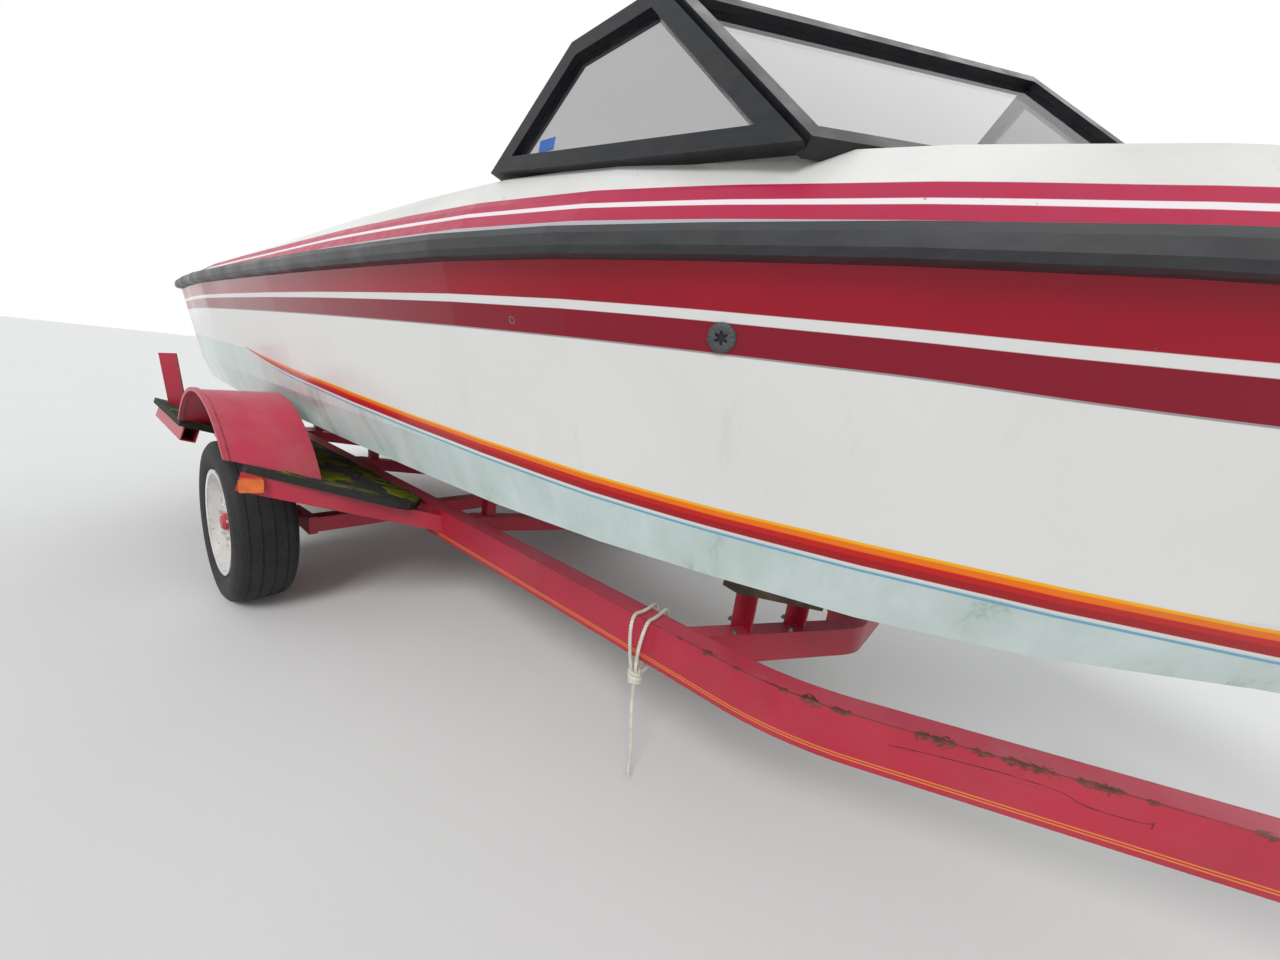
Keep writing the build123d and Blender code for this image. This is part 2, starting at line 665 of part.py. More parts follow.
with BuildPart() as steering_yoke:
    add(tube((SWIVEL_X, 0, DRIVE_Z - COLUMN_HALF), (SWIVEL_X, 0, DRIVE_Z + COLUMN_HALF), YOKE_COLUMN_R))
    add(tube((SWIVEL_X, 0, DRIVE_Z - COLUMN_HALF - LUG_T), (SWIVEL_X, 0, DRIVE_Z + COLUMN_HALF + LUG_T), PIVOT_R))
    add(block(SWIVEL_X - 34, SWIVEL_X - 10, -YOKE_Y - YOKE_T, YOKE_Y + YOKE_T,
              DRIVE_Z - YOKE_HALF, DRIVE_Z + YOKE_HALF))
    for low in (-YOKE_Y - YOKE_T, YOKE_Y):
        add(block(TRIM_X - 32, SWIVEL_X - 10, low, low + YOKE_T, DRIVE_Z - YOKE_HALF, DRIVE_Z + YOKE_HALF))
        add(tube((TRIM_X, low - 5, DRIVE_Z), (TRIM_X, low + YOKE_T + 5, DRIVE_Z), PIVOT_R + PIN_FIT),
            mode=Mode.SUBTRACT)
save(steering_yoke.part, "steering_yoke")

LEG_X = SWIVEL_X - LEG_OUT
LEG_HALF = YOKE_Y - 13.0
GEAR_R = 52.0
GEAR_AFT_X = LEG_X - GEAR_BACK
PROP_R = 180.0
PROP_X = GEAR_AFT_X - BLADE_BACK
SHAFT_R = 12.0
SHAFT_END_X = GEAR_AFT_X - 60.0
PLATE_Z = GEAR_Z + PROP_R + 12.0         # the flat plate over the propeller
SKEG_Z = GEAR_Z - PROP_R - 10.0
with BuildPart() as drive_leg:
    add(block(LEG_X - 110, TRIM_X, -LEG_HALF, LEG_HALF, DRIVE_Z - HEAD_R, DRIVE_Z + HEAD_R))
    fillet(drive_leg.edges().filter_by(Axis.Y).sort_by(Axis.X)[:2], 30)
    add(tube((TRIM_X, -LEG_HALF, DRIVE_Z), (TRIM_X, LEG_HALF, DRIVE_Z), HEAD_R))
    with BuildSketch(Plane.XY.offset(GEAR_Z)):
        with Locations((LEG_X, 0)):
            Ellipse(120, 34)
    with BuildSketch(Plane.XY.offset(DRIVE_Z - HEAD_R + 5)):
        with Locations((LEG_X, 0)):
            Ellipse(108, 60)
    loft()
    with BuildSketch(Plane.XY.offset(PLATE_Z)):
        with Locations((LEG_X - 60, 0)):
            RectangleRounded(400, 210, 80)
    extrude(amount=10)
    with BuildSketch(Plane.XZ):
        with BuildLine():
            Polyline((GEAR_AFT_X, GEAR_Z), (GEAR_AFT_X, GEAR_Z + GEAR_R), (LEG_X + 110, GEAR_Z + GEAR_R),
                     (LEG_X + 230, GEAR_Z), close=True)
        make_face()
    revolve(axis=Axis((LEG_X, 0, GEAR_Z), (1, 0, 0)))
    with BuildSketch(Plane.XZ):
        with BuildLine():
            Polyline((LEG_X - 120, GEAR_Z), (LEG_X + 60, GEAR_Z), (LEG_X - 40, SKEG_Z), (LEG_X - 120, SKEG_Z),
                     close=True)
        make_face()
    extrude(amount=5, both=True)
    add(tube((TRIM_X, -YOKE_Y - YOKE_T + 2, DRIVE_Z), (TRIM_X, YOKE_Y + YOKE_T - 2, DRIVE_Z), PIVOT_R))
    add(tube((SHAFT_END_X, 0, GEAR_Z), (GEAR_AFT_X, 0, GEAR_Z), SHAFT_R))
save(drive_leg.part, "drive_leg")

PROP_HUB_R = 48.0
BLADE_R = (PROP_R - 28.0) / 2   # half length of a blade, from inside the hub to its tip
with BuildPart() as propeller:
    add(tube((PROP_X - 60, 0, GEAR_Z), (GEAR_AFT_X - 5, 0, GEAR_Z), PROP_HUB_R))
    add(tube((PROP_X - NUT_BACK, 0, GEAR_Z), (PROP_X - 55, 0, GEAR_Z), 16))
    for turn in (90, 210, 330):
        out = Vector(0, cos(radians(turn)), sin(radians(turn)))
        tangent = Vector(0, -sin(radians(turn)), cos(radians(turn)))
        pitch = (Vector(1, 0, 0) * cos(radians(35)) + tangent * sin(radians(35))).normalized()
        middle = Vector(PROP_X, 0, GEAR_Z) + out * (PROP_R - BLADE_R)
        with BuildSketch(Plane(origin=middle, x_dir=out, z_dir=pitch)):
            Ellipse(BLADE_R, 55)
        extrude(amount=3, both=True)
    add(tube((SHAFT_END_X - 0.5, 0, GEAR_Z), (GEAR_AFT_X, 0, GEAR_Z), SHAFT_R + PIN_FIT), mode=Mode.SUBTRACT)
save(propeller.part, "propeller")


def stem_x(z):
    """Where the stem stands at this height."""
    rows = faired(HULL, range(2800, int(BOW), 5))
    return AXLE_X + min(rows, key=lambda row: abs(row[7] - z))[0]


# Bow eye for the winch strap
EYE_Z = 930.0
EYE_X = stem_x(EYE_Z)
with BuildPart() as bow_eye:
    with BuildSketch(Plane.XZ):
        with Locations((EYE_X + 28, EYE_Z - 28)):
            Circle(24)
            Circle(14, mode=Mode.SUBTRACT)
    extrude(amount=6, both=True)
    add(bar((EYE_X - 30, 0, EYE_Z + 30), (EYE_X + 14, 0, EYE_Z - 14), 12, 20, up=(0, 1, 0)))
    add(hull_outer, mode=Mode.SUBTRACT)
save(bow_eye.part.solids().sort_by(SortBy.VOLUME)[-1], "bow_eye")

# Trailer rails: box tubes; the port one ends at the front cross member, the starboard one bends in
# and runs on to the coupling
RAIL_IN = RAIL_Y - RAIL_W / 2
RAIL_OUT = RAIL_Y + RAIL_W / 2
RAIL_MID = RAIL_TOP - RAIL_H / 2


def box_run(points, bend, width, height, wall):
    """Box tube of even wall along level points, each corner bent to one radius."""
    with BuildPart() as run:
        with BuildLine() as path:
            if len(points) > 2:
                FilletPolyline(*points, radius=bend)
            else:
                Line(*points)
        heading = path.line % 0
        with BuildSketch(Plane(origin=points[0], x_dir=Vector(0, 0, 1).cross(heading), z_dir=heading)):
            Rectangle(width, height)
            Rectangle(width - 2 * wall, height - 2 * wall, mode=Mode.SUBTRACT)
        sweep(path=path.line)
    return run.part


rail_ends = {
    "starboard": [(RAIL_AFT_X, -RAIL_Y), (RAIL_BEND_X, -RAIL_Y), (TONGUE_X, -TONGUE_Y)],
    "port": [(RAIL_AFT_X, RAIL_Y), (PORT_END_X, RAIL_Y)],
}
for name, places in rail_ends.items():
    rail = box_run([(x, y, RAIL_MID) for x, y in places], RAIL_BEND_R, RAIL_W, RAIL_H, RAIL_WALL)
    save(rail, f"{name}_rail")

# Cross members: box tubes that dip under the keel, a bent one in front and a straight one for the lamps
BAR_X = RAIL_AFT_X - CROSS
HOOP_BEND = 120.0
hoop_reach = (RAIL_OUT - HOOP_HALF) / (RAIL_IN - HOOP_HALF)   # its slants are drawn on into the rails, then cut
hoop_end_x = HOOP_X - HOOP_SWEEP * hoop_reach
hoop_mid = HOOP_TOP - HOOP_H / 2
hoop_line = [(hoop_end_x, -RAIL_OUT, hoop_mid), (HOOP_X, -HOOP_HALF, hoop_mid),
             (HOOP_X, HOOP_HALF, hoop_mid), (hoop_end_x, RAIL_OUT, hoop_mid)]


def dipped_member(x, wall):
    """Cross member bent down under the keel; without a wall it is filled."""
    with BuildPart() as member:
        with BuildLine() as dip:
            Polyline((x, -RAIL_IN, CROSS_Z), (x, 75 - RAIL_IN, CROSS_Z), (x, 0, CROSS_Z - CROSS_DIP),
                     (x, RAIL_IN - 75, CROSS_Z), (x, RAIL_IN, CROSS_Z))
        with BuildSketch(Plane(origin=(x, -RAIL_IN, CROSS_Z), x_dir=(1, 0, 0), z_dir=(0, 1, 0))):
            Rectangle(CROSS, CROSS)
            if wall:
                Rectangle(CROSS - 2 * wall, CROSS - 2 * wall, mode=Mode.SUBTRACT)
        sweep(path=dip.line, transition=Transition.RIGHT)
    return member.part


with BuildPart() as cross_members:
    for x in CROSS_X:
        add(dipped_member(AXLE_X + x, CROSS_WALL))
    add(box_run(hoop_line, HOOP_BEND, HOOP_W, HOOP_H, CROSS_WALL))
    for side in (-1, 1):
        add(block(HOOP_X - 500, HOOP_X, side * RAIL_IN, side * (RAIL_OUT + 100), 300, 500), mode=Mode.SUBTRACT)
    add(box_run([(BAR_X + CROSS / 2, -900, RAIL_TOP - RAIL_H + CROSS / 2),
                 (BAR_X + CROSS / 2, 900, RAIL_TOP - RAIL_H + CROSS / 2)], 0, CROSS, CROSS, CROSS_WALL))
save(cross_members.part, "cross_members")
LAMP_Y = 790.0
LAMP_HALF = 110.0
with BuildPart() as rear_lights:
    for side in (-1, 1):
        add(block(BAR_X - 52, BAR_X, side * LAMP_Y - LAMP_HALF, side * LAMP_Y + LAMP_HALF, 340, 440))
    fillet(rear_lights.edges().filter_by(Axis.X), 12)
save(rear_lights.part, "rear_lights")

# Steps: pads on a plane that climbs outward from the rails, on box beams before and behind each wheel
STEP_FOOT = RAIL_TOP + 3.0      # pad's top where it meets the rail
STEP_ANGLE = 16.7
OUTRIGGER = 60.0
OUTRIGGER_W = 50.0
OUT_WALL = 4.0
FENDER_IN = WHEEL_Y - FENDER_W / 2
FENDER_OUT = WHEEL_Y + FENDER_W / 2
step_lean = radians(STEP_ANGLE)
# Pad outline: forward of the axle, then outward from the boat's middle
PAD = [
    (-1070, FENDER_OUT), (-385, FENDER_OUT), (-350, FENDER_IN - 20), (350, FENDER_IN - 20),
    (350, 1145), (395, 1145), (425, 1120), (612, 770), (612, 730), (575, 690),
    (470, RAIL_OUT + 2), (-1000, RAIL_OUT + 2), (-1070, 690),
]
# Beam ends: forward of the axle and outward, from the rail to the outer end
FORE_BEAM = [(612, RAIL_IN), (385, 1150)]
SIDE_BEAM_Y = FENDER_OUT - 44.0
AFT_BEAM = [(-1040, RAIL_IN), (-1040, SIDE_BEAM_Y)]
SIDE_BEAM = [(-1064, SIDE_BEAM_Y), (-410, SIDE_BEAM_Y)]


def step_plane(side, drop):
    """Plane of the pads' tops on one side, lowered square to itself; local x is forward."""
    tilt = Vector(0, -side * sin(step_lean), cos(step_lean))
    foot = Vector(AXLE_X, side * RAIL_OUT, STEP_FOOT)
    return Plane(origin=foot - tilt * drop, x_dir=(1, 0, 0), z_dir=tilt)


def on_step(side, x, y):
    """Place on a step plane in its own coordinates, for a point seen from above."""
    return (x, side * (y - RAIL_OUT) / cos(step_lean))


def outrigger_form(side, inset):
    """The beams on one side, drawn in by inset on their long faces."""
    with BuildPart() as form:
        for beam in (FORE_BEAM, AFT_BEAM, SIDE_BEAM):
            (x0, y0), (x1, y1) = [on_step(side, *place) for place in beam]
            run = Vector(x1 - x0, y1 - y0)
            middle = ((x0 + x1) / 2, (y0 + y1) / 2)
            turn = atan2(run.Y, run.X) * 180 / pi
            with BuildSketch(step_plane(side, STEP_T + GAP + inset)):
                with Locations(Location(middle, (0, 0, turn))):
                    Rectangle(run.length, OUTRIGGER_W - 2 * inset)
            extrude(amount=2 * inset - OUTRIGGER)
        add(block(AXLE_X - 1300, AXLE_X + 900, -RAIL_OUT, RAIL_OUT, 300, 600), mode=Mode.SUBTRACT)
    return form.part


outriggers = [outrigger_form(side, 0) for side in (-1, 1)]
save(Compound(children=[hollow(outriggers[i], outrigger_form(side, OUT_WALL)) for i, side in enumerate((-1, 1))]),
     "outriggers")
pads = []
for side in (-1, 1):
    with BuildPart() as pad:
        with BuildSketch(step_plane(side, STEP_T)):
            with BuildLine():
                Polyline(*[on_step(side, *place) for place in PAD], close=True)
            make_face()
        extrude(amount=STEP_T)
    pads.append(pad.part)
save(Compound(children=pads), "step_pads")

# Fenders: half-round sheet with a rolled outer lip, standing on the steps
FENDER_Z = 280.0            # middle of the fender's curve
LIP_T = 14.0


def fender_form(side):
    """One fender, cut off at the step pads' tops."""
    low = side * WHEEL_Y - FENDER_W / 2
    lip_low = side * FENDER_OUT - LIP_T / 2
    with BuildPart() as form:
        for y0, width, outer, inner in ((low, FENDER_W, FENDER_R, FENDER_R - FENDER_T),
                                        (lip_low, LIP_T, FENDER_R + 6, FENDER_R - 8)):
            with BuildSketch(Plane.XZ.offset(-y0)):
                with Locations((AXLE_X, FENDER_Z)):
                    Circle(outer)
                    Circle(inner, mode=Mode.SUBTRACT)
            extrude(amount=-width)
        with BuildSketch(step_plane(side, -GAP)):
            Rectangle(3000, 3000)
        extrude(amount=-1500, mode=Mode.SUBTRACT)
    return form.part


save(Compound(children=[fender_form(-1), fender_form(1)]), "fenders")

# Axle: a square tube under the rails, swing arms, brake plates and spindles
BEAM_TOP = RAIL_TOP - RAIL_H
with BuildPart() as axle:
    add(hollow(block(BEAM_X, BEAM_X + BEAM, -895, 895, BEAM_TOP - BEAM, BEAM_TOP),
               block(BEAM_X + 5, BEAM_X + BEAM - 5, -890, 890, BEAM_TOP - BEAM + 5, BEAM_TOP - 5)))
    for side in (-1, 1):
        with BuildSketch(Plane.XZ.offset(-910 if side > 0 else 910)):
            with BuildLine():
                Polyline((AXLE_X - 28, 282), (BEAM_X + BEAM + 5, 280), (BEAM_X + BEAM + 5, 350),
                         (AXLE_X - 28, 338), close=True)
            make_face()
        extrude(amount=15, both=True)
        add(tube((AXLE_X, side * 900, TYRE_R), (AXLE_X, side * (WHEEL_Y + 25), TYRE_R), SPINDLE_R))
        add(tube((AXLE_X, side * (WHEEL_Y - 100), TYRE_R), (AXLE_X, side * (WHEEL_Y - 94), TYRE_R), 112))
save(axle.part, "axle")


def turned(profile, side):
    """Wheel piece revolved round the axle; profile gives (offset outward, radius) pairs."""
    with BuildPart() as ring:
        with BuildSketch(Plane.XY.offset(TYRE_R)):
            with BuildLine():
                Polyline(*[(AXLE_X + r, side * (WHEEL_Y + y)) for y, r in profile], close=True)
            make_face()
        revolve(axis=Axis((AXLE_X, 0, TYRE_R), (0, 1, 0)))
    return ring.part


HALF = TYRE_W / 2
BEAD = RIM_R - 12
tyre_profile = [(-75, BEAD), (-82, RIM_R + 14), (-HALF, 255), (-HALF + 4, 285), (-80, TYRE_R - 3),
                (-50, TYRE_R), (50, TYRE_R), (80, TYRE_R - 3), (HALF - 4, 285), (HALF, 255),
                (82, RIM_R + 14), (75, BEAD)]
rim_profile = [(-74, BEAD - GAP), (-82, BEAD - GAP), (-84, RIM_R), (-89, RIM_R), (-87, BEAD - 5),
               (-40, BEAD - 8), (-30, BEAD - 24), (24, BEAD - 24), (42, 95), (42, 36), (46, 36), (46, 97),
               (32, BEAD - 20), (40, BEAD - 5), (87, BEAD - 5), (89, RIM_R), (84, RIM_R), (82, BEAD - GAP),
               (74, BEAD - GAP), (36, BEAD - GAP), (26, BEAD - 14), (-26, BEAD - 14), (-36, BEAD - GAP)]
HUB_BORE = SPINDLE_R + PIN_FIT
hub_profile = [(-88, HUB_BORE), (-88, 34), (-40, 34), (-40, 102), (-88, 102), (-88, 110), (-30, 110), (-30, 60),
               (41.7, 60), (41.7, 32), (70, 32), (78, 24), (78, 0), (28, 0), (28, HUB_BORE)]
for side, name in ((-1, "starboard"), (1, "port")):
    for piece, profile in (("tyre", tyre_profile), ("rim", rim_profile), ("hub", hub_profile)):
        save(turned(profile, side), f"{name}_{piece}")

# Bunks: timber pads cut to the hull's bottom; a long pair aft and an oblique pair on the front member
hull_seat = hull_outer.moved(Location((0, 0, -GAP)))
DEADRISE = 16.3
BUNK_X = (-1450.0, 760.0)
BUNK_Z = 568.0              # hull's bottom over the long pair
FRONT_BUNK_W = 70.0
FRONT_BUNK_Y = (265.0, 487.0)
FRONT_POST_Y = (308.0, 444.0)
rise = radians(DEADRISE)


def bottom_z(x, y):
    """Height of the hull's bottom between keel and chine."""
    chine_y, chine_z, keel_z = faired(HULL, [x - AXLE_X])[0][5:8]
    return keel_z + (chine_z - keel_z) * abs(y) / chine_y


def hoop_place(y):
    """Distance forward at which the front member's slant has this distance from the middle."""
    return HOOP_X - HOOP_SWEEP * (y - HOOP_HALF) / (RAIL_IN - HOOP_HALF)


with BuildPart() as bunks:
    for side in (-1, 1):
        with BuildSketch(Plane(origin=(AXLE_X + BUNK_X[0], side * BUNK_Y, BUNK_Z - BUNK_T / 2),
                               x_dir=(0, cos(rise), side * sin(rise)), z_dir=(1, 0, 0))):
            Rectangle(BUNK_W, BUNK_T + 10)
        extrude(amount=BUNK_X[1] - BUNK_X[0])
        ends = [(hoop_place(y), side * y, bottom_z(hoop_place(y), y) - BUNK_T / 2) for y in FRONT_BUNK_Y]
        add(bar(*ends, FRONT_BUNK_W, BUNK_T + 10, up=(0, -side * sin(rise), cos(rise))))
    add(hull_seat, mode=Mode.SUBTRACT)
save(bunks.part, "bunks")
POST_LEG = 40.0
POST_T = 5.0
hoop_heading = Vector(-HOOP_SWEEP, RAIL_IN - HOOP_HALF, 0).normalized()
with BuildPart() as uprights:
    for side in (-1, 1):
        for x in CROSS_X:
            add(block(AXLE_X + x - 20, AXLE_X + x + 20, side * BUNK_Y - 20, side * BUNK_Y + 20, CROSS_Z - 15, 620))
        along = Vector(hoop_heading.X, side * hoop_heading.Y, 0)
        for y in FRONT_POST_Y:
            with BuildSketch(Plane(origin=(hoop_place(y), side * y, HOOP_TOP + GAP), x_dir=along, z_dir=(0, 0, 1))):
                Rectangle(POST_LEG, POST_LEG)
                with Locations((POST_T, POST_T)):
                    Rectangle(POST_LEG, POST_LEG, mode=Mode.SUBTRACT)
            extrude(amount=300)
    for x in CROSS_X:
        add(dipped_member(AXLE_X + x, 0), mode=Mode.SUBTRACT)
    add(bunks.part, mode=Mode.SUBTRACT)
    add(hull_solid(-30, 0), mode=Mode.SUBTRACT)
    add(hull_outer, mode=Mode.SUBTRACT)

# Keel rollers with their brackets on the cross members, and the bow roller
ROLLER_HALF = 45.0
ROLLER_PIN = 8.0
HOOP_ROLLER_X = HOOP_X - HOOP_W / 2 - ROLLER_R - 10
BOW_ROLLER_Z = 985.0
BOW_ROLLER_R = 36.0
ROLLER_X = stem_x(BOW_ROLLER_Z) + BOW_ROLLER_R + 16
roller_x = [AXLE_X + x for x in CROSS_X] + [HOOP_ROLLER_X]
rollers = [(x, bottom_z(x, 0) - ROLLER_R - 3) for x in roller_x]
with BuildPart() as keel_rollers:
    for x, z in rollers:
        add(tube((x, -ROLLER_HALF, z), (x, ROLLER_HALF, z), ROLLER_R, ROLLER_PIN + GAP))
    add(tube((ROLLER_X, -47, BOW_ROLLER_Z), (ROLLER_X, 47, BOW_ROLLER_Z), BOW_ROLLER_R))
save(keel_rollers.part, "rollers")
with BuildPart() as roller_brackets:
    for x, z in rollers:
        fore, foot = (x + 25, CROSS_Z - CROSS_DIP + 15) if x < HOOP_ROLLER_X else (HOOP_X - HOOP_W / 2, HOOP_TOP - HOOP_H + 10)
        for side in (-1, 1):
            add(block(x - 25, fore, side * 51 - 3, side * 51 + 3, foot, z + 14))
        add(tube((x, -60, z), (x, 60, z), ROLLER_PIN))
    for x in CROSS_X:
        add(dipped_member(AXLE_X + x, 0), mode=Mode.SUBTRACT)
supports = [*uprights.part.solids(), *roller_brackets.part.solids()]
save(Compound(children=supports), "hull_supports")

# Drawbar: a box tube on the middle line, joined to the starboard rail by a plate above and one below
with BuildPart() as drawbar:
    with BuildSketch(across(DRAWBAR_AFT_X)):
        with Locations((0, DRAWBAR_TOP - DRAWBAR_H / 2)):
            Rectangle(DRAWBAR_W, DRAWBAR_H)
            Rectangle(DRAWBAR_W - 2 * RAIL_WALL, DRAWBAR_H - 2 * RAIL_WALL, mode=Mode.SUBTRACT)
    extrude(amount=DRAWBAR_FORE_X - DRAWBAR_AFT_X)
PLATE_T = 8.0
PLATE_AFT_X = TONGUE_X - 300.0
PLATE_FORE_X = TONGUE_X + 40.0
rail_slope = (RAIL_Y - TONGUE_Y) / (TONGUE_X - RAIL_BEND_X)


def rail_edge(x):
    """Outer edge of the starboard rail's slanted end."""
    return -TONGUE_Y - (TONGUE_X - x) * rail_slope - RAIL_W / 2 * sqrt(1 + rail_slope ** 2)


with BuildPart() as tongue_plates:
    for z in (RAIL_TOP, RAIL_TOP - RAIL_H - PLATE_T):
        with BuildSketch(Plane.XY.offset(z)):
            with BuildLine():
                Polyline((PLATE_AFT_X, rail_edge(PLATE_AFT_X)), (TONGUE_X, rail_edge(TONGUE_X)),
                         (PLATE_FORE_X, -DRAWBAR_W / 2), (PLATE_FORE_X, DRAWBAR_W / 2),
                         (PLATE_AFT_X, DRAWBAR_W / 2), close=True)
            make_face()
        extrude(amount=PLATE_T)
save(Compound(children=[drawbar.part, *tongue_plates.part.solids()]), "drawbar")
BALL_R = 25.0
BALL_X = AXLE_X + NOSE - 42.0
with BuildPart() as coupler:
    add(block(DRAWBAR_FORE_X - 150, BALL_X, -38, 38, DRAWBAR_TOP, DRAWBAR_TOP + 34))
    with BuildSketch(Plane.XY.offset(DRAWBAR_TOP - 46)):
        with Locations((BALL_X, 0)):
            Circle(42)
    extrude(amount=80)
    add(block(DRAWBAR_FORE_X + 0.3, BALL_X, -38, 38, DRAWBAR_TOP - 46, DRAWBAR_TOP))
    with BuildSketch(Plane.XY.offset(DRAWBAR_TOP - 47)):
        with Locations((BALL_X, 0)):
            Circle(BALL_R + GAP)
    extrude(amount=46, mode=Mode.SUBTRACT)
    add(bar((BALL_X - 40, 0, DRAWBAR_TOP + 25), (BALL_X - 190, 0, DRAWBAR_TOP + 110), 30, 12, up=(0, 1, 0)))
save(coupler.part, "coupler")

# Jack: outer tube clamped to the drawbar's side, inner tube, castor fork and wheel
JACK_FOOT = 380.0            # lower end of the outer tube
JACK_HEAD = 790.0
JACK_TRAVEL = 150.0
FORK_TOP = 224.5
CLAMP_LOW = FORK_TOP + JACK_TRAVEL + 8.0   # the clamp clears the raised fork
CLAMP_HIGH = DRAWBAR_TOP - 10.0
with BuildPart() as jack_tube:
    add(tube((JACK_X, JACK_Y, JACK_FOOT), (JACK_X, JACK_Y, JACK_HEAD), JACK_R, JACK_R - 4))
    add(tube((JACK_X, JACK_Y, JACK_HEAD), (JACK_X, JACK_Y, JACK_HEAD + 12), JACK_R + 2))
    add(tube((JACK_X, JACK_Y, JACK_HEAD + 12), (JACK_X, JACK_Y, JACK_HEAD + 40), 9))
    add(bar((JACK_X - 8, JACK_Y, JACK_HEAD + 34), (JACK_X + 150, JACK_Y, JACK_HEAD + 34), 18, 8, up=(0, 1, 0)))
    add(tube((JACK_X + 142, JACK_Y, JACK_HEAD + 34), (JACK_X + 142, JACK_Y, JACK_HEAD + 120), 11))
    add(block(JACK_X - 45, JACK_X + 45, DRAWBAR_W / 2, DRAWBAR_W / 2 + 8, CLAMP_LOW, CLAMP_HIGH))
    add(block(JACK_X - 12, JACK_X + 12, DRAWBAR_W / 2 + 8, JACK_Y - JACK_R + 2, CLAMP_LOW + 5, CLAMP_HIGH - 10))
    add(tube((JACK_X, JACK_Y, CLAMP_LOW + 5), (JACK_X, JACK_Y, CLAMP_HIGH - 10), JACK_R + 6, JACK_R - 1))
save(jack_tube.part, "jack_tube")
with BuildPart() as jack_leg:
    add(tube((JACK_X, JACK_Y, FORK_TOP + 0.5), (JACK_X, JACK_Y, 600), JACK_R - 4.5))
save(jack_leg.part, "jack_leg")
with BuildPart() as jack_fork:
    add(block(JACK_X - JACK_TRAIL - 20, JACK_X + 34, JACK_Y - 38, JACK_Y + 38, FORK_TOP - 8.5, FORK_TOP))
    for side in (-1, 1):
        with BuildSketch(Plane.XZ.offset(-JACK_Y - side * 35)):
            with BuildLine():
                Polyline((JACK_X - JACK_TRAIL - 20, 80), (JACK_X - JACK_TRAIL + 20, 80), (JACK_X + 34, FORK_TOP - 6.5),
                         (JACK_X - JACK_TRAIL - 20, FORK_TOP - 6.5), close=True)
            make_face()
        extrude(amount=3, both=True)
    add(tube((JACK_X - JACK_TRAIL, JACK_Y - 44, JACK_WHEEL_R), (JACK_X - JACK_TRAIL, JACK_Y + 44, JACK_WHEEL_R), 8))
save(jack_fork.part, "jack_fork")
with BuildPart() as jack_wheel:
    with BuildSketch(Plane.XZ.offset(-JACK_Y - 25)):
        with Locations((JACK_X - JACK_TRAIL, JACK_WHEEL_R)):
            Circle(JACK_WHEEL_R)
            Circle(8.05, mode=Mode.SUBTRACT)
    extrude(amount=50)
    fillet(jack_wheel.edges().filter_by(GeomType.CIRCLE).sort_by(SortBy.LENGTH)[-2:], 12)
save(jack_wheel.part, "jack_wheel")

# Winch post: foot on the drawbar, upright, bow roller and winch
with BuildPart() as winch_post:
    add(block(POST_FOOT_X - 90, POST_FOOT_X + 90, -40, 40, DRAWBAR_TOP, DRAWBAR_TOP + 8))
    add(block(POST_FOOT_X - 30, POST_FOOT_X + 30, -30, 30, DRAWBAR_TOP + 8, 1010))
    add(bar((POST_FOOT_X, 0, 985), (AXLE_X + 3640, 0, 985), 40, 40))
    for side in (-1, 1):
        add(block(AXLE_X + 3548, AXLE_X + 3660, side * 52 - 3, side * 52 + 3, 955, 1015))
    add(block(AXLE_X + 3640, AXLE_X + 3660, -55, 55, 955, 1015))
save(winch_post.part, "winch_post")
with BuildPart() as winch:
    for side in (-1, 1):
        add(block(POST_FOOT_X - 150, POST_FOOT_X - 30.3, side * 48 - 3, side * 48 + 3, 820, 920))
    add(block(POST_FOOT_X - 36, POST_FOOT_X - 30.3, -51, 51, 820, 920))
    add(tube((POST_FOOT_X - 100, -70, 870), (POST_FOOT_X - 100, 51, 870), 12))
    add(tube((POST_FOOT_X - 100, -45, 870), (POST_FOOT_X - 100, 45, 870), 34))
    add(block(POST_FOOT_X - 110, POST_FOOT_X - 90, -76, -68, 870, 1060))
    add(tube((POST_FOOT_X - 100, -150, 1050), (POST_FOOT_X - 100, -68, 1050), 12))
save(winch.part, "winch")
with BuildPart() as strap:
    add(bar((POST_FOOT_X - 100, 0, 906), (EYE_X + 52, 0, EYE_Z - 26), 44, 3))
save(strap.part, "winch_strap")

# Marker lamps on the fore beams and flat guide posts on the aft steps
MARKER_Y = 1130.0
MARKER_HALF = 32.0
POST_BAR = [(-920, 1120), (-940, 1152)]     # foot and head: forward of the axle, then outward
POST_HEAD_Z = 865.0
slant = Vector(FORE_BEAM[1][0] - FORE_BEAM[0][0], FORE_BEAM[1][1] - FORE_BEAM[0][1], 0).normalized()
markers = []
for side in (-1, 1):
    along = Vector(slant.X, side * slant.Y, 0)
    face = Vector(slant.Y, -side * slant.X, 0)
    reach = (MARKER_Y - FORE_BEAM[0][1]) / slant.Y
    middle = Vector(AXLE_X + FORE_BEAM[0][0], side * FORE_BEAM[0][1], 0) + along * reach
    lamp_z = STEP_FOOT + (MARKER_Y - RAIL_OUT) * tan(step_lean) - STEP_T - 30
    with BuildPart() as marker:
        with BuildSketch(Plane(origin=middle + Vector(0, 0, lamp_z), x_dir=along, z_dir=face)):
            RectangleRounded(2 * MARKER_HALF, 44, 6)
        extrude(amount=OUTRIGGER_W / 2 + 26)
        add(outriggers[(side + 1) // 2], mode=Mode.SUBTRACT)
    markers.append(marker.part.solids().sort_by(Axis.X)[-1])
save(Compound(children=markers), "side_markers")
guides = []
for side in (-1, 1):
    (x0, y0), (x1, y1) = POST_BAR
    with BuildPart() as guide:
        add(bar((AXLE_X + x0, side * y0, STEP_FOOT), (AXLE_X + x1, side * y1, POST_HEAD_Z), 12, 65))
        with BuildSketch(step_plane(side, -GAP)):
            Rectangle(3000, 3000)
        extrude(amount=-1500, mode=Mode.SUBTRACT)
    guides.append(guide.part)
save(Compound(children=guides), "guide_posts")

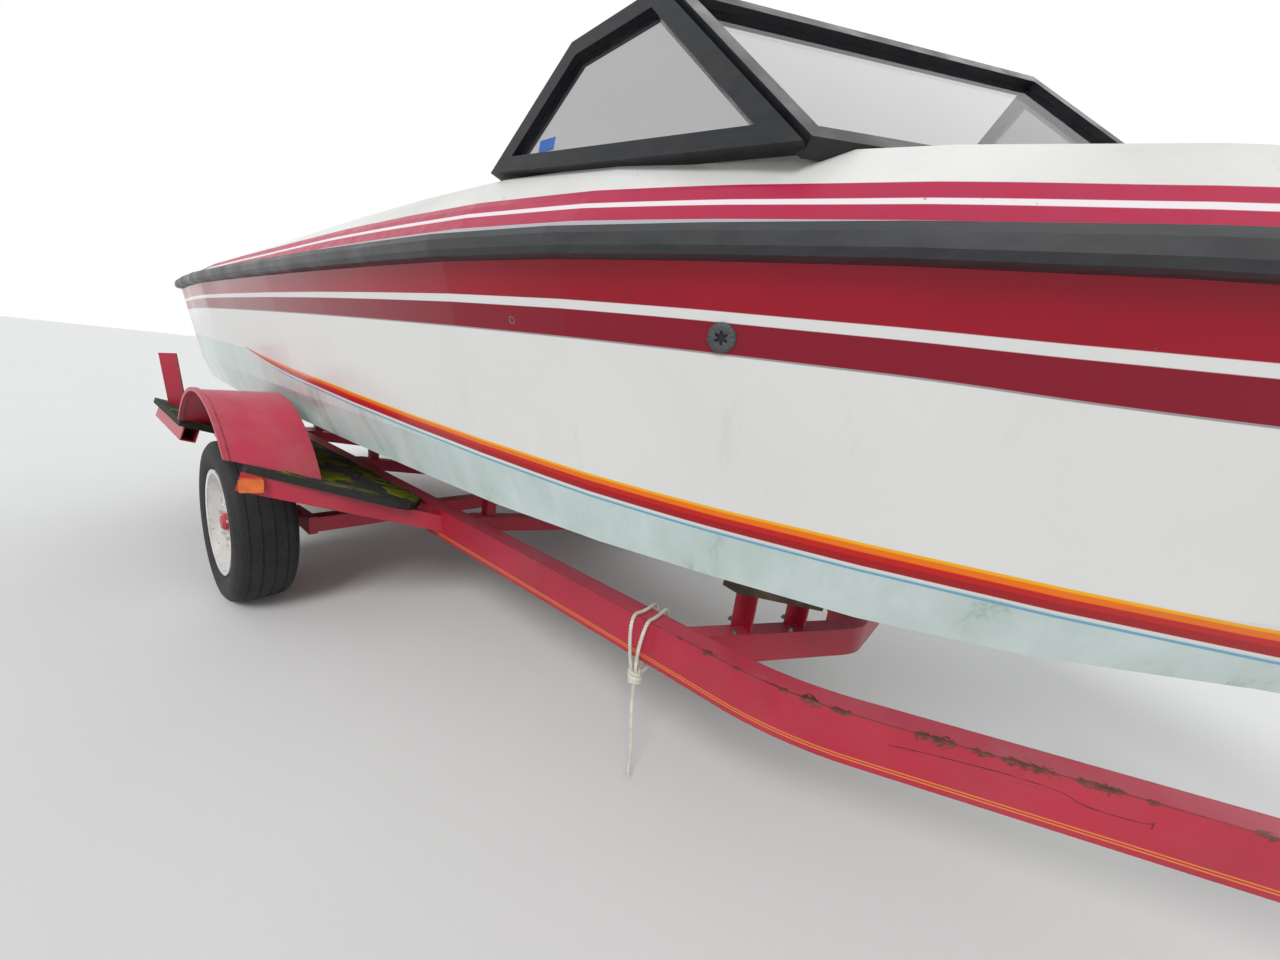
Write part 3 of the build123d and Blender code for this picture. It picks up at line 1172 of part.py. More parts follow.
# Rope: two loose turns round the starboard rail, a hitch and a hanging tail
ROPE_R = 4.0
ROPE_X = AXLE_X + 1622.0
TURN_PITCH = 18.0
BEND = 26.0                  # least radius of the rope's middle line


def bend_radii(points, closed):
    """Radius of each bend: the fullest that the shorter run beside it leaves room for, up to BEND's double."""
    corners = [Vector(*point) for point in points]
    places = range(len(corners)) if closed else range(1, len(corners) - 1)
    radii = []
    for i in places:
        before = corners[i] - corners[i - 1]
        after = corners[(i + 1) % len(corners)] - corners[i]
        half_turn = radians(before.get_angle(after)) / 2
        fullest = 0.45 * min(before.length, after.length) / tan(half_turn)
        radii.append(BEND if half_turn > radians(40) and fullest > BEND else min(fullest, 2 * BEND))
    return radii


def rope_run(points, closed):
    """Round rope through these corners with a bend at each."""
    radii = bend_radii(points, closed)
    print("rope bend radii:", [round(radius, 1) for radius in radii])
    with BuildPart() as run:
        with BuildLine() as path:
            FilletPolyline(*points, radius=radii, close=closed)
        with BuildSketch(Plane(origin=path.line @ 0, z_dir=path.line % 0)):
            Circle(ROPE_R)
        sweep()
    length = sum(edge.length for edge in path.edges())
    print("rope length:", round(length), "volume over section times length:",
          round(run.part.volume / (pi * ROPE_R ** 2 * length), 4))
    return run.part


ROPE_UP = RAIL_H / 2 + ROPE_R + GAP      # middle of the rope where it lies on the rail
ROPE_OUT = RAIL_W / 2 + BEND + 1.0
ROPE_SLANT = 0.08                        # each turn leans this much along the rail
# Corners of a turn: outward and up from the rail's middle
TURN = [(ROPE_OUT, ROPE_UP), (-ROPE_OUT, ROPE_UP), (-ROPE_OUT, -28), (-15, -92), (ROPE_OUT - 5, -82), (ROPE_OUT + 6, -10)]
turns = []
for place in (-0.5, 0.5):
    corners = [(ROPE_X + place * TURN_PITCH + ROPE_SLANT * out, -RAIL_Y - out, RAIL_MID + up) for out, up in TURN]
    turns.append(rope_run(corners, True))
save(Compound(children=turns), "rope_turns")

# The tail hangs from the hitch; its end swings just over the ground
HITCH_X = ROPE_X + 4.0
HITCH_Z = 303.6
TAIL_Y = -RAIL_Y - ROPE_OUT + 16
TAIL = [(0, 0, HITCH_Z - 6), (6, -4, 205), (18, 1, 125), (28, -8, 62), (33, -13, 19)]
with BuildPart() as rope_tail:
    add(rope_run([(HITCH_X + along, TAIL_Y + out, z) for along, out, z in TAIL], False))
    for rise, radius in ((-8, 10.5), (0, 12.0), (8, 10.5)):
        with BuildSketch(Plane.XZ.offset(-TAIL_Y)):
            with Locations((HITCH_X + radius - ROPE_R, HITCH_Z + rise)):
                Circle(ROPE_R + 0.6)
        revolve(axis=Axis((HITCH_X, TAIL_Y, 0), (0, 0, 1)))
    add(tube((HITCH_X, TAIL_Y, HITCH_Z - 10), (HITCH_X, TAIL_Y, HITCH_Z + 10), 7))
save(rope_tail.part, "rope_tail")
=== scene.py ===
"""Looks of a speedboat on its road trailer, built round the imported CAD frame.

Metres, +X to the bow, +Z up."""
import json
import math

import bmesh
import bpy
from mathutils import Matrix, Vector, noise
from mathutils.bvhtree import BVHTree
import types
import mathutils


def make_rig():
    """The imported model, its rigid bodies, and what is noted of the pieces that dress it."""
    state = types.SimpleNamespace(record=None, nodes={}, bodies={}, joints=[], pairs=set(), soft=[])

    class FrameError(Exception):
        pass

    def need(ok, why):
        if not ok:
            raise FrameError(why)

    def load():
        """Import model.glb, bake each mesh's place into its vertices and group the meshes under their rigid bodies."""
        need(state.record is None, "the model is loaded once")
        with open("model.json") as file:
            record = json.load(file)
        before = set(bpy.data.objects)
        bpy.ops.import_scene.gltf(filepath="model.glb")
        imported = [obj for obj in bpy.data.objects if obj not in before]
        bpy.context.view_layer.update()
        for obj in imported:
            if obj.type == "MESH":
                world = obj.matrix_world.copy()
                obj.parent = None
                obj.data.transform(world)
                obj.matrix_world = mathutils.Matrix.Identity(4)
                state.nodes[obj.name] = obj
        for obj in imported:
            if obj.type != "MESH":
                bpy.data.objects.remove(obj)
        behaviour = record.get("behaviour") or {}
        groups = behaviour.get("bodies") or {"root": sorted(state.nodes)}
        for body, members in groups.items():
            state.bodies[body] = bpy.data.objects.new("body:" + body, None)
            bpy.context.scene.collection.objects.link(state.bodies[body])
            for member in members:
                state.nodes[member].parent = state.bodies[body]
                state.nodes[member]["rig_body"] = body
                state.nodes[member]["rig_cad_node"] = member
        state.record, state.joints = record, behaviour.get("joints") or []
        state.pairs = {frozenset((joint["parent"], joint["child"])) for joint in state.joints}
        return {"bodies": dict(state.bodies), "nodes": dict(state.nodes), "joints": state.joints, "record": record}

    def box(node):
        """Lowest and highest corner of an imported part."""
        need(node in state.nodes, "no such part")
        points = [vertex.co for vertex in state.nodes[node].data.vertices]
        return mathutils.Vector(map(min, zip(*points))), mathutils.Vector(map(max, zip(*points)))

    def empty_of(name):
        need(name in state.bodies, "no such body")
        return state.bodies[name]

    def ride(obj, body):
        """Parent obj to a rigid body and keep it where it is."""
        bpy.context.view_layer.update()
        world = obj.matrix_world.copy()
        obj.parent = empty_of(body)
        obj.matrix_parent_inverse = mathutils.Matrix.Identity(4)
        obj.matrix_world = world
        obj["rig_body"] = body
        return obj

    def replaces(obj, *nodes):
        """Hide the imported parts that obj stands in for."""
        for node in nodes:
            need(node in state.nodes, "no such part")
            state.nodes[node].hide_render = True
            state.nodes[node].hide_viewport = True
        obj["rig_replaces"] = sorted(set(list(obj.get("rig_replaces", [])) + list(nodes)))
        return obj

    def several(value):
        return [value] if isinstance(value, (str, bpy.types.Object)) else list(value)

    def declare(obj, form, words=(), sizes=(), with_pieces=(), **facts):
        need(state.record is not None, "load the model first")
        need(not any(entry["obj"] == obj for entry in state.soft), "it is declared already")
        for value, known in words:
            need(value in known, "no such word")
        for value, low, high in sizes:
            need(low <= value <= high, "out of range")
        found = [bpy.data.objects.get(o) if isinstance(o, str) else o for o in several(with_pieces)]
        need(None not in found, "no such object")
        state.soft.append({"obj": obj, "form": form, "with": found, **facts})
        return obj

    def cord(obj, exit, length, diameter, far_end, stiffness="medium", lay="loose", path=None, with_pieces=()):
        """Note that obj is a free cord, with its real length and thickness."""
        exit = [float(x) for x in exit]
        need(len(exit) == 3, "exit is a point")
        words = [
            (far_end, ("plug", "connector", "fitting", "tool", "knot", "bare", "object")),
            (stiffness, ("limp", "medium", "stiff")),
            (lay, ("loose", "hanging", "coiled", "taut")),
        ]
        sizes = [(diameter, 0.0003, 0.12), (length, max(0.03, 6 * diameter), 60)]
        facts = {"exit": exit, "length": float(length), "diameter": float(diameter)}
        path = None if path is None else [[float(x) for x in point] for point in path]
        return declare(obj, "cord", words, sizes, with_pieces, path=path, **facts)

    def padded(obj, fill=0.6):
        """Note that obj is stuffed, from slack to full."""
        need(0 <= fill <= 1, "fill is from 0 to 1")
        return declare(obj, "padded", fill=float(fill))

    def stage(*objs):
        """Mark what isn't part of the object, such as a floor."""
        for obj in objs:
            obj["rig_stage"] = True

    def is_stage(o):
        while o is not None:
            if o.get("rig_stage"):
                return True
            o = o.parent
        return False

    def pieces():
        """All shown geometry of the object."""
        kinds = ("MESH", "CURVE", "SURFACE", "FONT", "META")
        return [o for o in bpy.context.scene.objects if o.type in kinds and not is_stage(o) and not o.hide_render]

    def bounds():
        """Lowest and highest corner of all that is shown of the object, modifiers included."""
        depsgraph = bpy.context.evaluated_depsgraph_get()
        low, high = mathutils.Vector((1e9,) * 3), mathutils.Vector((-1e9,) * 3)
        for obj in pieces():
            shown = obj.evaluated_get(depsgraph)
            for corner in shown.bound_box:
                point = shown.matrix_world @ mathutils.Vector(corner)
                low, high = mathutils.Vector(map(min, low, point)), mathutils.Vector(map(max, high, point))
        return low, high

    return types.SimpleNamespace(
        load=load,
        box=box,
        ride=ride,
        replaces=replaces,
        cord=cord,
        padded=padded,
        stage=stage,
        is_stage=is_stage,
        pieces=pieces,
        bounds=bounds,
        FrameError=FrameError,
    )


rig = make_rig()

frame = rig.load()
cad_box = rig.bounds()
nodes = frame["nodes"]

AXLE_X = -1.130              # the wheels' axle in the frame
STARBOARD, PORT = -1, 1

# Camera, worked out from the photograph's own lines
CAMERA_PLACE = (AXLE_X + 2.264, -1.522, 1.064)
CAMERA_AZIMUTH = 51.831      # how far the view turns from -X towards +Y, in degrees
CAMERA_DIP = 12.598
CAMERA_ROLL = 7.564
CAMERA_LENS = 13.46          # on a sensor 36 mm wide


def set_camera():
    """Camera at the photograph's viewpoint, with its tilt."""
    turn, dip, roll = (math.radians(a) for a in (CAMERA_AZIMUTH, CAMERA_DIP, CAMERA_ROLL))
    ahead = Vector((-math.cos(turn) * math.cos(dip), math.sin(turn) * math.cos(dip), -math.sin(dip)))
    level = Vector((math.sin(turn), math.cos(turn), 0.0))
    above = level.cross(ahead)
    right = level * math.cos(roll) + above * math.sin(roll)
    up = above * math.cos(roll) - level * math.sin(roll)
    data = bpy.data.cameras.new("camera")
    data.sensor_width = 36.0
    data.lens = CAMERA_LENS
    data.clip_start = 0.02
    camera = bpy.data.objects.new("camera", data)
    bpy.context.scene.collection.objects.link(camera)
    axes = Matrix((right, up, -ahead)).transposed().to_4x4()
    axes.translation = Vector(CAMERA_PLACE)
    camera.matrix_world = axes
    bpy.context.scene.camera = camera


# Materials: a short wrapper over shader nodes

class Shade:
    """One material's node tree on a Principled shader."""

    def __init__(self, name, **fixed):
        self.material = bpy.data.materials.new(name)
        self.material.use_nodes = True
        self.tree = self.material.node_tree
        self.shader = self.tree.nodes["Principled BSDF"]
        for socket, value in fixed.items():
            self.shader.inputs[socket.replace("_", " ")].default_value = value
        coordinates = self.tree.nodes.new("ShaderNodeTexCoord")
        self.place = coordinates.outputs["Object"]
        self.x, self.y, self.z = self.parts(self.place)
        geometry = self.tree.nodes.new("ShaderNodeNewGeometry")
        self.facing = geometry.outputs["Normal"]
        self.facing_x, self.facing_y, self.facing_z = self.parts(self.facing)

    def node(self, kind, *inputs, **settings):
        """New node; inputs fill its sockets in order and settings are its own properties."""
        made = self.tree.nodes.new("ShaderNode" + kind)
        for key, value in settings.items():
            setattr(made, key, value)
        for socket, value in zip(made.inputs, inputs):
            self.give(socket, value)
        return made

    def give(self, socket, value):
        """Link a socket to another or set its number."""
        if isinstance(value, bpy.types.NodeSocket):
            self.tree.links.new(value, socket)
        elif value is not None:
            socket.default_value = value

    def parts(self, vector):
        """X, Y and Z of a vector."""
        return self.node("SeparateXYZ", vector).outputs[:]

    def math(self, operation, *inputs):
        """Result of one sum on numbers or sockets."""
        return self.node("Math", *inputs, operation=operation).outputs[0]

    def ramp(self, value, low, high):
        """0 under low, 1 over high and even between them; low may be the larger one."""
        return self.node("MapRange", value, low, high, 0.0, 1.0).outputs[0]

    def band(self, value, low, high, soft=0.0006):
        """1 where value lies between low and high."""
        over = self.math("SUBTRACT", value, low)
        under = self.math("SUBTRACT", high, value)
        nearest = self.math("MINIMUM", over, under)
        return self.ramp(nearest, -soft, soft)

    def both(self, a, b):
        """Where both masks are."""
        return self.math("MULTIPLY", a, b)

    def noise(self, scale, detail=4.0, roughness=0.55, stretch=(1, 1, 1), seed=0.0):
        """Cloudy noise about 0.5; stretch is how much finer it is along each axis."""
        moved = self.node("Mapping", self.place, (seed, seed * 0.7, seed * 1.3), (0, 0, 0), stretch)
        texture = self.node("TexNoise", moved.outputs[0], None, scale, detail, roughness)
        return texture.outputs[0]

    def mix(self, share, a, b):
        """Colour a where share is 0 and colour b where it is 1."""
        made = self.tree.nodes.new("ShaderNodeMix")
        made.data_type = "RGBA"
        self.give(made.inputs[0], share)
        self.give(made.inputs[6], a)
        self.give(made.inputs[7], b)
        return made.outputs[2]

    def curve(self, value, points):
        """Smooth curve through (value, result) points."""
        lows = [min(column) for column in zip(*points)]
        highs = [max(column) for column in zip(*points)]
        share = self.node("MapRange", value, lows[0], highs[0], 0.0, 1.0).outputs[0]
        made = self.tree.nodes.new("ShaderNodeFloatCurve")
        line = made.mapping.curves[0]
        spots = [[(v - low) / (high - low) for v, low, high in zip(p, lows, highs)] for p in points]
        line.points[0].location = spots[0]
        line.points[1].location = spots[-1]
        for spot in spots[1:-1]:
            line.points.new(*spot)
        made.mapping.update()
        self.give(made.inputs[1], share)
        return self.node("MapRange", made.outputs[0], 0.0, 1.0, lows[1], highs[1]).outputs[0]

    def edges(self, radius=0.006):
        """1 at sharp edges, where paint wears first."""
        rounded = self.node("Bevel", radius, samples=4).outputs[0]
        same = self.node("VectorMath", rounded, self.facing, operation="DOT_PRODUCT").outputs["Value"]
        return self.ramp(same, 0.995, 0.93)

    def bump(self, height, strength=0.3, distance=0.001):
        """Bump from a height field."""
        made = self.tree.nodes.new("ShaderNodeBump")
        made.inputs["Strength"].default_value = strength
        made.inputs["Distance"].default_value = distance
        self.give(made.inputs["Height"], height)
        self.give(self.shader.inputs["Normal"], made.outputs[0])

    def colour(self, value):
        """Base colour."""
        self.give(self.shader.inputs["Base Color"], value)
        return self

    def rough(self, value):
        """Roughness."""
        self.give(self.shader.inputs["Roughness"], value)
        return self


def rgb(red, green, blue):
    """Screen colour of 0 to 255 as the linear colour a shader takes."""
    levels = (red, green, blue)
    return tuple(((c / 255 + 0.055) / 1.055) ** 2.4 if c > 10 else c / 3294.6 for c in levels) + (1.0,)


WHITE_GELCOAT = rgb(226, 225, 222)
HULL_RED = rgb(160, 0, 34)
DARK_RED = rgb(134, 2, 34)
FADED_RED = rgb(180, 14, 62)
ALGAE = rgb(140, 158, 138)
GOLD = rgb(236, 150, 20)
RUST = rgb(96, 46, 24)
GRIME = rgb(70, 66, 55)

# Painted lines on the hull, as (distance from the axle, height) points
WHITE_LINE = [(-1.83, 1.130), (0.0, 1.155), (1.48, 1.160), (2.08, 1.154), (2.45, 1.149), (3.0, 1.152),
              (3.71, 1.172)]
RED_FOOT = [(-1.83, 1.080), (0.0, 1.104), (1.46, 1.108), (2.09, 1.104), (2.46, 1.095), (3.0, 1.094),
            (3.71, 1.112)]
STRIPE_TOP = [(-0.42, 0.954), (0.06, 0.924), (0.53, 0.9045), (0.96, 0.884), (1.30, 0.8715), (1.54, 0.860),
              (1.84, 0.849), (2.10, 0.848), (2.56, 0.849), (2.85, 0.885), (3.2, 0.985), (3.71, 1.215)]
STRIPE_FOOT = [(-0.42, 0.953), (0.04, 0.9005), (0.51, 0.874), (0.95, 0.852), (1.29, 0.8362), (1.53, 0.8213),
               (1.84, 0.808), (2.10, 0.8055), (2.58, 0.8055), (2.85, 0.840), (3.2, 0.938), (3.71, 1.165)]
STRIPE_START = -0.42         # aft end of the warm stripe, from the axle
PALE_STEP = 0.005            # the pale bottom starts this far under the stripe
BLUE_LINE = (0.0075, 0.0125) # light blue line's top and foot under the stripe
WHITE_HALF = 0.0072          # half of the white line between the crimson bands
SHADOW_LINE = 0.0022           # painted shadow: thin grey line under the lower band
KNOCK = (AXLE_X + 1.469, -0.959, 1.128)


def hull_gelcoat():
    """White hull with crimson bands, a warm graded stripe and a pale, algae-streaked bottom."""
    s = Shade("hull_gelcoat", Coat_Weight=0.08, Coat_Roughness=0.15, Specular_IOR_Level=0.3)
    along = s.math("SUBTRACT", s.x, AXLE_X)
    side = s.ramp(s.math("ABSOLUTE", s.facing_x), 0.9, 0.8)
    line = s.curve(along, WHITE_LINE)
    foot = s.curve(along, RED_FOOT)
    top = s.curve(along, STRIPE_TOP)
    low = s.curve(along, STRIPE_FOOT)
    cloud = s.noise(2.2, 6.0)
    streak = s.noise(9.0, 5.0, 0.6, (1.0, 1.0, 0.09))
    fine = s.noise(140.0, 3.0, 0.6, (1, 1, 0.3), 3.0)
    upper = s.mix(s.both(s.ramp(cloud, 0.45, 0.75), 0.35), WHITE_GELCOAT, rgb(212, 212, 210))
    # Below the stripe the gelcoat is cooler and streaked with algae; towards the keel it turns a darker green-grey in
    # cloudy patches
    pale = s.mix(s.ramp(streak, 0.35, 0.75), rgb(206, 220, 217), rgb(182, 198, 192))
    pale = s.mix(s.both(s.ramp(streak, 0.58, 0.78), s.ramp(fine, 0.4, 0.6)), pale, ALGAE)
    deep = s.ramp(s.z, 0.62, 0.47)
    pale = s.mix(s.both(deep, s.ramp(cloud, 0.35, 0.6)), pale, rgb(150, 160, 140))
    below = s.ramp(s.math("SUBTRACT", s.z, low), 0.001 - PALE_STEP, -0.001 - PALE_STEP)
    paint = s.mix(below, upper, pale)
    started = s.ramp(along, STRIPE_START, STRIPE_START + 0.02)
    # Stripe: a gold line, orange, red and, under a white gap, light blue
    height = s.math("MAXIMUM", s.math("SUBTRACT", top, low), 0.001)
    depth = s.math("DIVIDE", s.math("SUBTRACT", top, s.z), height)
    warm = s.mix(s.ramp(depth, 0.10, 0.16), rgb(244, 176, 20), rgb(238, 116, 12))
    warm = s.mix(s.ramp(depth, 0.36, 0.41), warm, rgb(196, 24, 18))
    warm = s.mix(s.ramp(depth, 0.62, 0.66), warm, rgb(166, 12, 22))
    worn = s.ramp(s.noise(60.0, 6.0, 0.7, (1, 1, 2.5), 5.0), 0.66, 0.72)
    aft = s.ramp(along, 1.3, 0.2)
    warm = s.mix(s.both(worn, aft), warm, rgb(120, 60, 30))
    paint = s.mix(s.both(started, s.band(s.z, low, top)), paint, warm)
    blue_top, blue_low = (s.math("SUBTRACT", low, drop) for drop in BLUE_LINE)
    blue = s.both(s.both(s.band(s.z, blue_low, blue_top), s.ramp(along, -0.1, 0.05)), side)
    paint = s.mix(blue, paint, rgb(112, 168, 196))
    # Crimson bands either side of a white line, under the rub rail
    red = s.mix(s.ramp(cloud, 0.4, 0.65), HULL_RED, rgb(148, 2, 30))
    over = s.ramp(s.math("SUBTRACT", s.z, line), WHITE_HALF - 0.0006, WHITE_HALF + 0.0006)
    paint = s.mix(s.both(side, over), paint, red)
    dark = s.band(s.z, foot, s.math("SUBTRACT", line, WHITE_HALF))
    paint = s.mix(s.both(side, dark), paint, DARK_RED)
    # Painted shadow: a thin grey line along the foot of the lower band
    rim = s.band(s.z, s.math("SUBTRACT", foot, SHADOW_LINE), foot)
    paint = s.mix(s.both(side, rim), paint, rgb(150, 146, 146))
    # Grime and chips
    chips = s.ramp(s.noise(38.0, 8.0, 0.65, (1, 1, 1), 9.0), 0.735, 0.75)
    paint = s.mix(s.both(chips, 0.8), paint, rgb(90, 84, 80))
    drips = s.ramp(s.noise(22.0, 4.0, 0.6, (1, 1, 0.05), 2.0), 0.62, 0.8)
    paint = s.mix(s.both(s.both(drips, 0.09), s.ramp(s.z, 1.12, 1.0)), paint, GRIME)
    # One knock through the dark band, seen on the starboard side
    near = s.node("VectorMath", s.place, KNOCK, operation="DISTANCE").outputs["Value"]
    near = s.math("ADD", near, s.both(s.math("SUBTRACT", fine, 0.5), 0.008))
    paint = s.mix(s.ramp(near, 0.0075, 0.0062), paint, rgb(160, 104, 110))
    paint = s.mix(s.ramp(near, 0.0058, 0.0048), paint, rgb(84, 60, 58))
    s.colour(paint)
    s.rough(s.node("MapRange", cloud, 0.3, 0.7, 0.13, 0.26).outputs[0])
    s.bump(s.noise(3.0, 2.0), 0.05, 0.01)
    return s.material


# Painted lines on the deck's outer band, as (distance from the axle, height) points
BAND_TOP = [(-1.83, 1.288), (0.0, 1.325), (1.40, 1.353), (2.04, 1.342), (2.40, 1.327), (3.0, 1.312),
            (3.71, 1.300)]
DECK_LINE = [(-1.83, 1.262), (0.0, 1.296), (1.43, 1.321), (2.05, 1.313), (2.40, 1.303), (3.0, 1.292),
             (3.71, 1.286)]
TRIM_TOP = [(-1.83, 1.240), (0.0, 1.268), (1.46, 1.291), (2.06, 1.285), (2.40, 1.273), (3.0, 1.266),
            (3.71, 1.272)]
DECK_LINE_HALF = 0.0045


def deck_gelcoat():
    """White deck with faded crimson bands, a thin white line and a grey trim above the rub rail."""
    s = Shade("deck_gelcoat", Coat_Weight=0.06, Coat_Roughness=0.25, Specular_IOR_Level=0.3)
    along = s.math("SUBTRACT", s.x, AXLE_X)
    top, line, trim = (s.curve(along, points) for points in (BAND_TOP, DECK_LINE, TRIM_TOP))
    cloud = s.noise(3.0, 6.0)
    chalk = s.noise(26.0, 6.0, 0.7, (1, 1, 1), 4.0)
    white = s.mix(s.ramp(cloud, 0.35, 0.7), rgb(232, 230, 226), rgb(212, 211, 206))
    lichen = s.both(s.ramp(chalk, 0.62, 0.7), s.ramp(cloud, 0.5, 0.62))
    white = s.mix(s.both(lichen, 0.5), white, rgb(150, 152, 132))
    faded = s.mix(s.ramp(chalk, 0.35, 0.7), FADED_RED, rgb(172, 34, 76))
    outside = s.ramp(s.math("ABSOLUTE", s.y), 0.10, 0.12)
    band = s.both(s.band(s.z, trim, top), outside)
    paint = s.mix(band, white, faded)
    line_low, line_top = (s.math(way, line, DECK_LINE_HALF) for way in ("SUBTRACT", "ADD"))
    paint = s.mix(s.band(s.z, line_low, line_top), paint, rgb(236, 228, 230))
    paint = s.mix(s.ramp(s.math("SUBTRACT", s.z, trim), 0.0008, -0.0008), paint, rgb(176, 176, 180))
    specks = s.ramp(s.noise(75.0, 5.0, 0.6, (1, 1, 1), 8.0), 0.71, 0.73)
    paint = s.mix(s.both(specks, 0.6), paint, rgb(96, 84, 76))
    s.colour(paint)
    s.rough(s.node("MapRange", chalk, 0.3, 0.7, 0.28, 0.5).outputs[0])
    s.bump(chalk, 0.06, 0.002)
    return s.material


# Bare places on the starboard rail's outer top edge: start, end (distance from the axle) and depth
RAIL_CHIPS = [(1.377, 1.391, 0.005), (1.726, 1.744, 0.006), (1.795, 1.828, 0.010), (1.882, 1.898, 0.006),
              (1.983, 2.004, 0.007), (2.028, 2.072, 0.013), (2.082, 2.122, 0.009), (2.226, 2.292, 0.014),
              (2.316, 2.350, 0.008), (2.362, 2.440, 0.010), (2.468, 2.540, 0.010), (2.564, 2.584, 0.007),
              (2.700, 2.730, 0.008), (2.860, 2.875, 0.006)]
# The long scratch in its outer face, as (distance from the axle, height) points
SCRATCH = [(2.191, 0.4174), (2.306, 0.4270), (2.394, 0.4302), (2.454, 0.4267), (2.517, 0.4123),
           (2.560, 0.4136), (2.584, 0.4212)]
SCRATCH_HOOK = (0.4070, 0.4212)
RAIL_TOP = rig.box("starboard_rail")[1][2]
# The rail's outer face: straight, then turned after a bend
RAIL_FACE = 0.615
RAIL_TURN = (0.390, 0.921)   # sine and cosine of the turn
TURNED_FROM = (2.0117, 0.6126)
BEND_SAG = [(1.858, 0.0), (1.93, 0.0036), (2.003, 0.0146), (2.07, 0.0036), (2.14, 0.0)]
PINSTRIPES = ((0.3570, 0.3598), (0.3632, 0.3660))


def rail_marks(s, paint, fine):
    """Rust on the starboard rail's outer top edge and the dark scratch along its face."""
    along = s.math("SUBTRACT", s.x, AXLE_X)
    points = [(1.36, 0.0)]
    for start, end, deep in RAIL_CHIPS:
        points += [(start, 0.0), (start + 0.005, deep), (end - 0.005, deep), (end, 0.0)]
    deep = s.curve(along, points + [(3.0, 0.0)])
    ragged = s.node("MapRange", s.noise(110.0, 4.0, 0.6, (1, 1, 1), 3.0), 0.36, 0.64, 0.15, 1.35).outputs[0]
    deep = s.both(deep, ragged)
    # Distance inward from the outer face, straight, bent and after the bend
    across = s.both(s.math("ADD", s.y, TURNED_FROM[1]), RAIL_TURN[1])
    after = s.math("SUBTRACT", across, s.both(s.math("SUBTRACT", along, TURNED_FROM[0]), RAIL_TURN[0]))
    nearer = s.math("MINIMUM", s.math("ADD", s.y, RAIL_FACE), after)
    inward = s.math("SUBTRACT", nearer, s.curve(along, BEND_SAG))
    inward = s.math("MAXIMUM", s.both(inward, s.ramp(s.facing_z, 0.5, 0.9)), s.ramp(s.facing_y, 0.0, 0.3))
    reach = s.math("MAXIMUM", inward, s.math("SUBTRACT", RAIL_TOP, s.z))
    spare = s.math("SUBTRACT", reach, deep)
    paint = s.mix(s.ramp(spare, 0.0016, 0.0006), paint, rgb(120, 30, 38))
    rust = s.mix(s.ramp(fine, 0.4, 0.6), rgb(128, 64, 48), rgb(84, 40, 30))
    paint = s.mix(s.ramp(spare, -0.0002, -0.0012), paint, rust)
    line = s.curve(along, SCRATCH)
    half = s.node("MapRange", fine, 0.35, 0.65, 0.0004, 0.0015).outputs[0]
    start, end = SCRATCH[0][0], SCRATCH[-1][0]
    mark = s.band(s.z, s.math("SUBTRACT", line, half), s.math("ADD", line, half), 0.0003)
    mark = s.both(mark, s.band(along, start, end))
    hook = s.both(s.band(along, end - 0.0010, end + 0.0012, 0.0003), s.band(s.z, *SCRATCH_HOOK))
    mark = s.both(s.math("MAXIMUM", mark, hook), s.ramp(s.facing_y, -0.5, -0.7))
    return s.mix(s.both(mark, 0.9), paint, rgb(58, 16, 22))


def trailer_paint(name, pinstripes=False):
    """Faded crimson paint on steel, chipped to rust at edges, with gold pinstripes where asked, and painted light that
    makes upward faces lighter and pinker.
    """
    s = Shade(name, Coat_Weight=0.1, Coat_Roughness=0.3)
    cloud = s.noise(4.0, 6.0)
    fine = s.noise(55.0, 8.0, 0.65, (1, 1, 1), 6.0)
    paint = s.mix(s.ramp(cloud, 0.35, 0.7), rgb(184, 30, 58), rgb(166, 26, 50))
    # Painted light: upward faces are painted lighter and pinker, as if lit from above
    lit_from_above = s.ramp(s.facing_z, 0.3, 0.95)
    paint = s.mix(s.both(lit_from_above, 0.55), paint, rgb(208, 78, 100))
    if pinstripes:
        upright = s.ramp(s.math("ABSOLUTE", s.facing_z), 0.5, 0.4)
        for low, high in PINSTRIPES:
            paint = s.mix(s.both(upright, s.band(s.z, low, high, 0.0003)), paint, rgb(222, 128, 40))
    veins = s.noise(16.0, 3.0, 0.5, (0.25, 1, 3.0), 7.0)
    scratch = s.both(s.ramp(veins, 0.492, 0.5), s.ramp(veins, 0.508, 0.5))
    scratch = s.both(scratch, s.ramp(s.noise(3.0, 2.0, 0.5, (1, 1, 1), 11.0), 0.60, 0.64))
    paint = s.mix(s.both(scratch, 0.75), paint, rgb(92, 30, 34))
    worn = s.both(s.edges(0.008), s.ramp(fine, 0.44, 0.60))
    blots = s.both(s.ramp(fine, 0.665, 0.68), s.ramp(cloud, 0.42, 0.5))
    bare = s.math("MAXIMUM", s.both(worn, 0.85), blots)
    rust = s.mix(s.ramp(s.noise(120.0, 4.0), 0.4, 0.6), RUST, rgb(128, 84, 66))
    paint = s.mix(bare, paint, rust)
    dust = s.ramp(s.noise(7.0, 5.0, 0.6, (1, 1, 1), 13.0), 0.45, 0.8)
    dust = s.both(dust, s.ramp(s.facing_z, -0.2, 0.6))
    paint = s.mix(s.both(dust, 0.35), paint, rgb(168, 128, 124))
    if pinstripes:
        paint = rail_marks(s, paint, fine)
    s.colour(paint)
    s.rough(s.math("ADD", 0.38, s.both(bare, 0.4)))
    s.bump(s.math("SUBTRACT", fine, bare), 0.15, 0.0015)
    return s.material


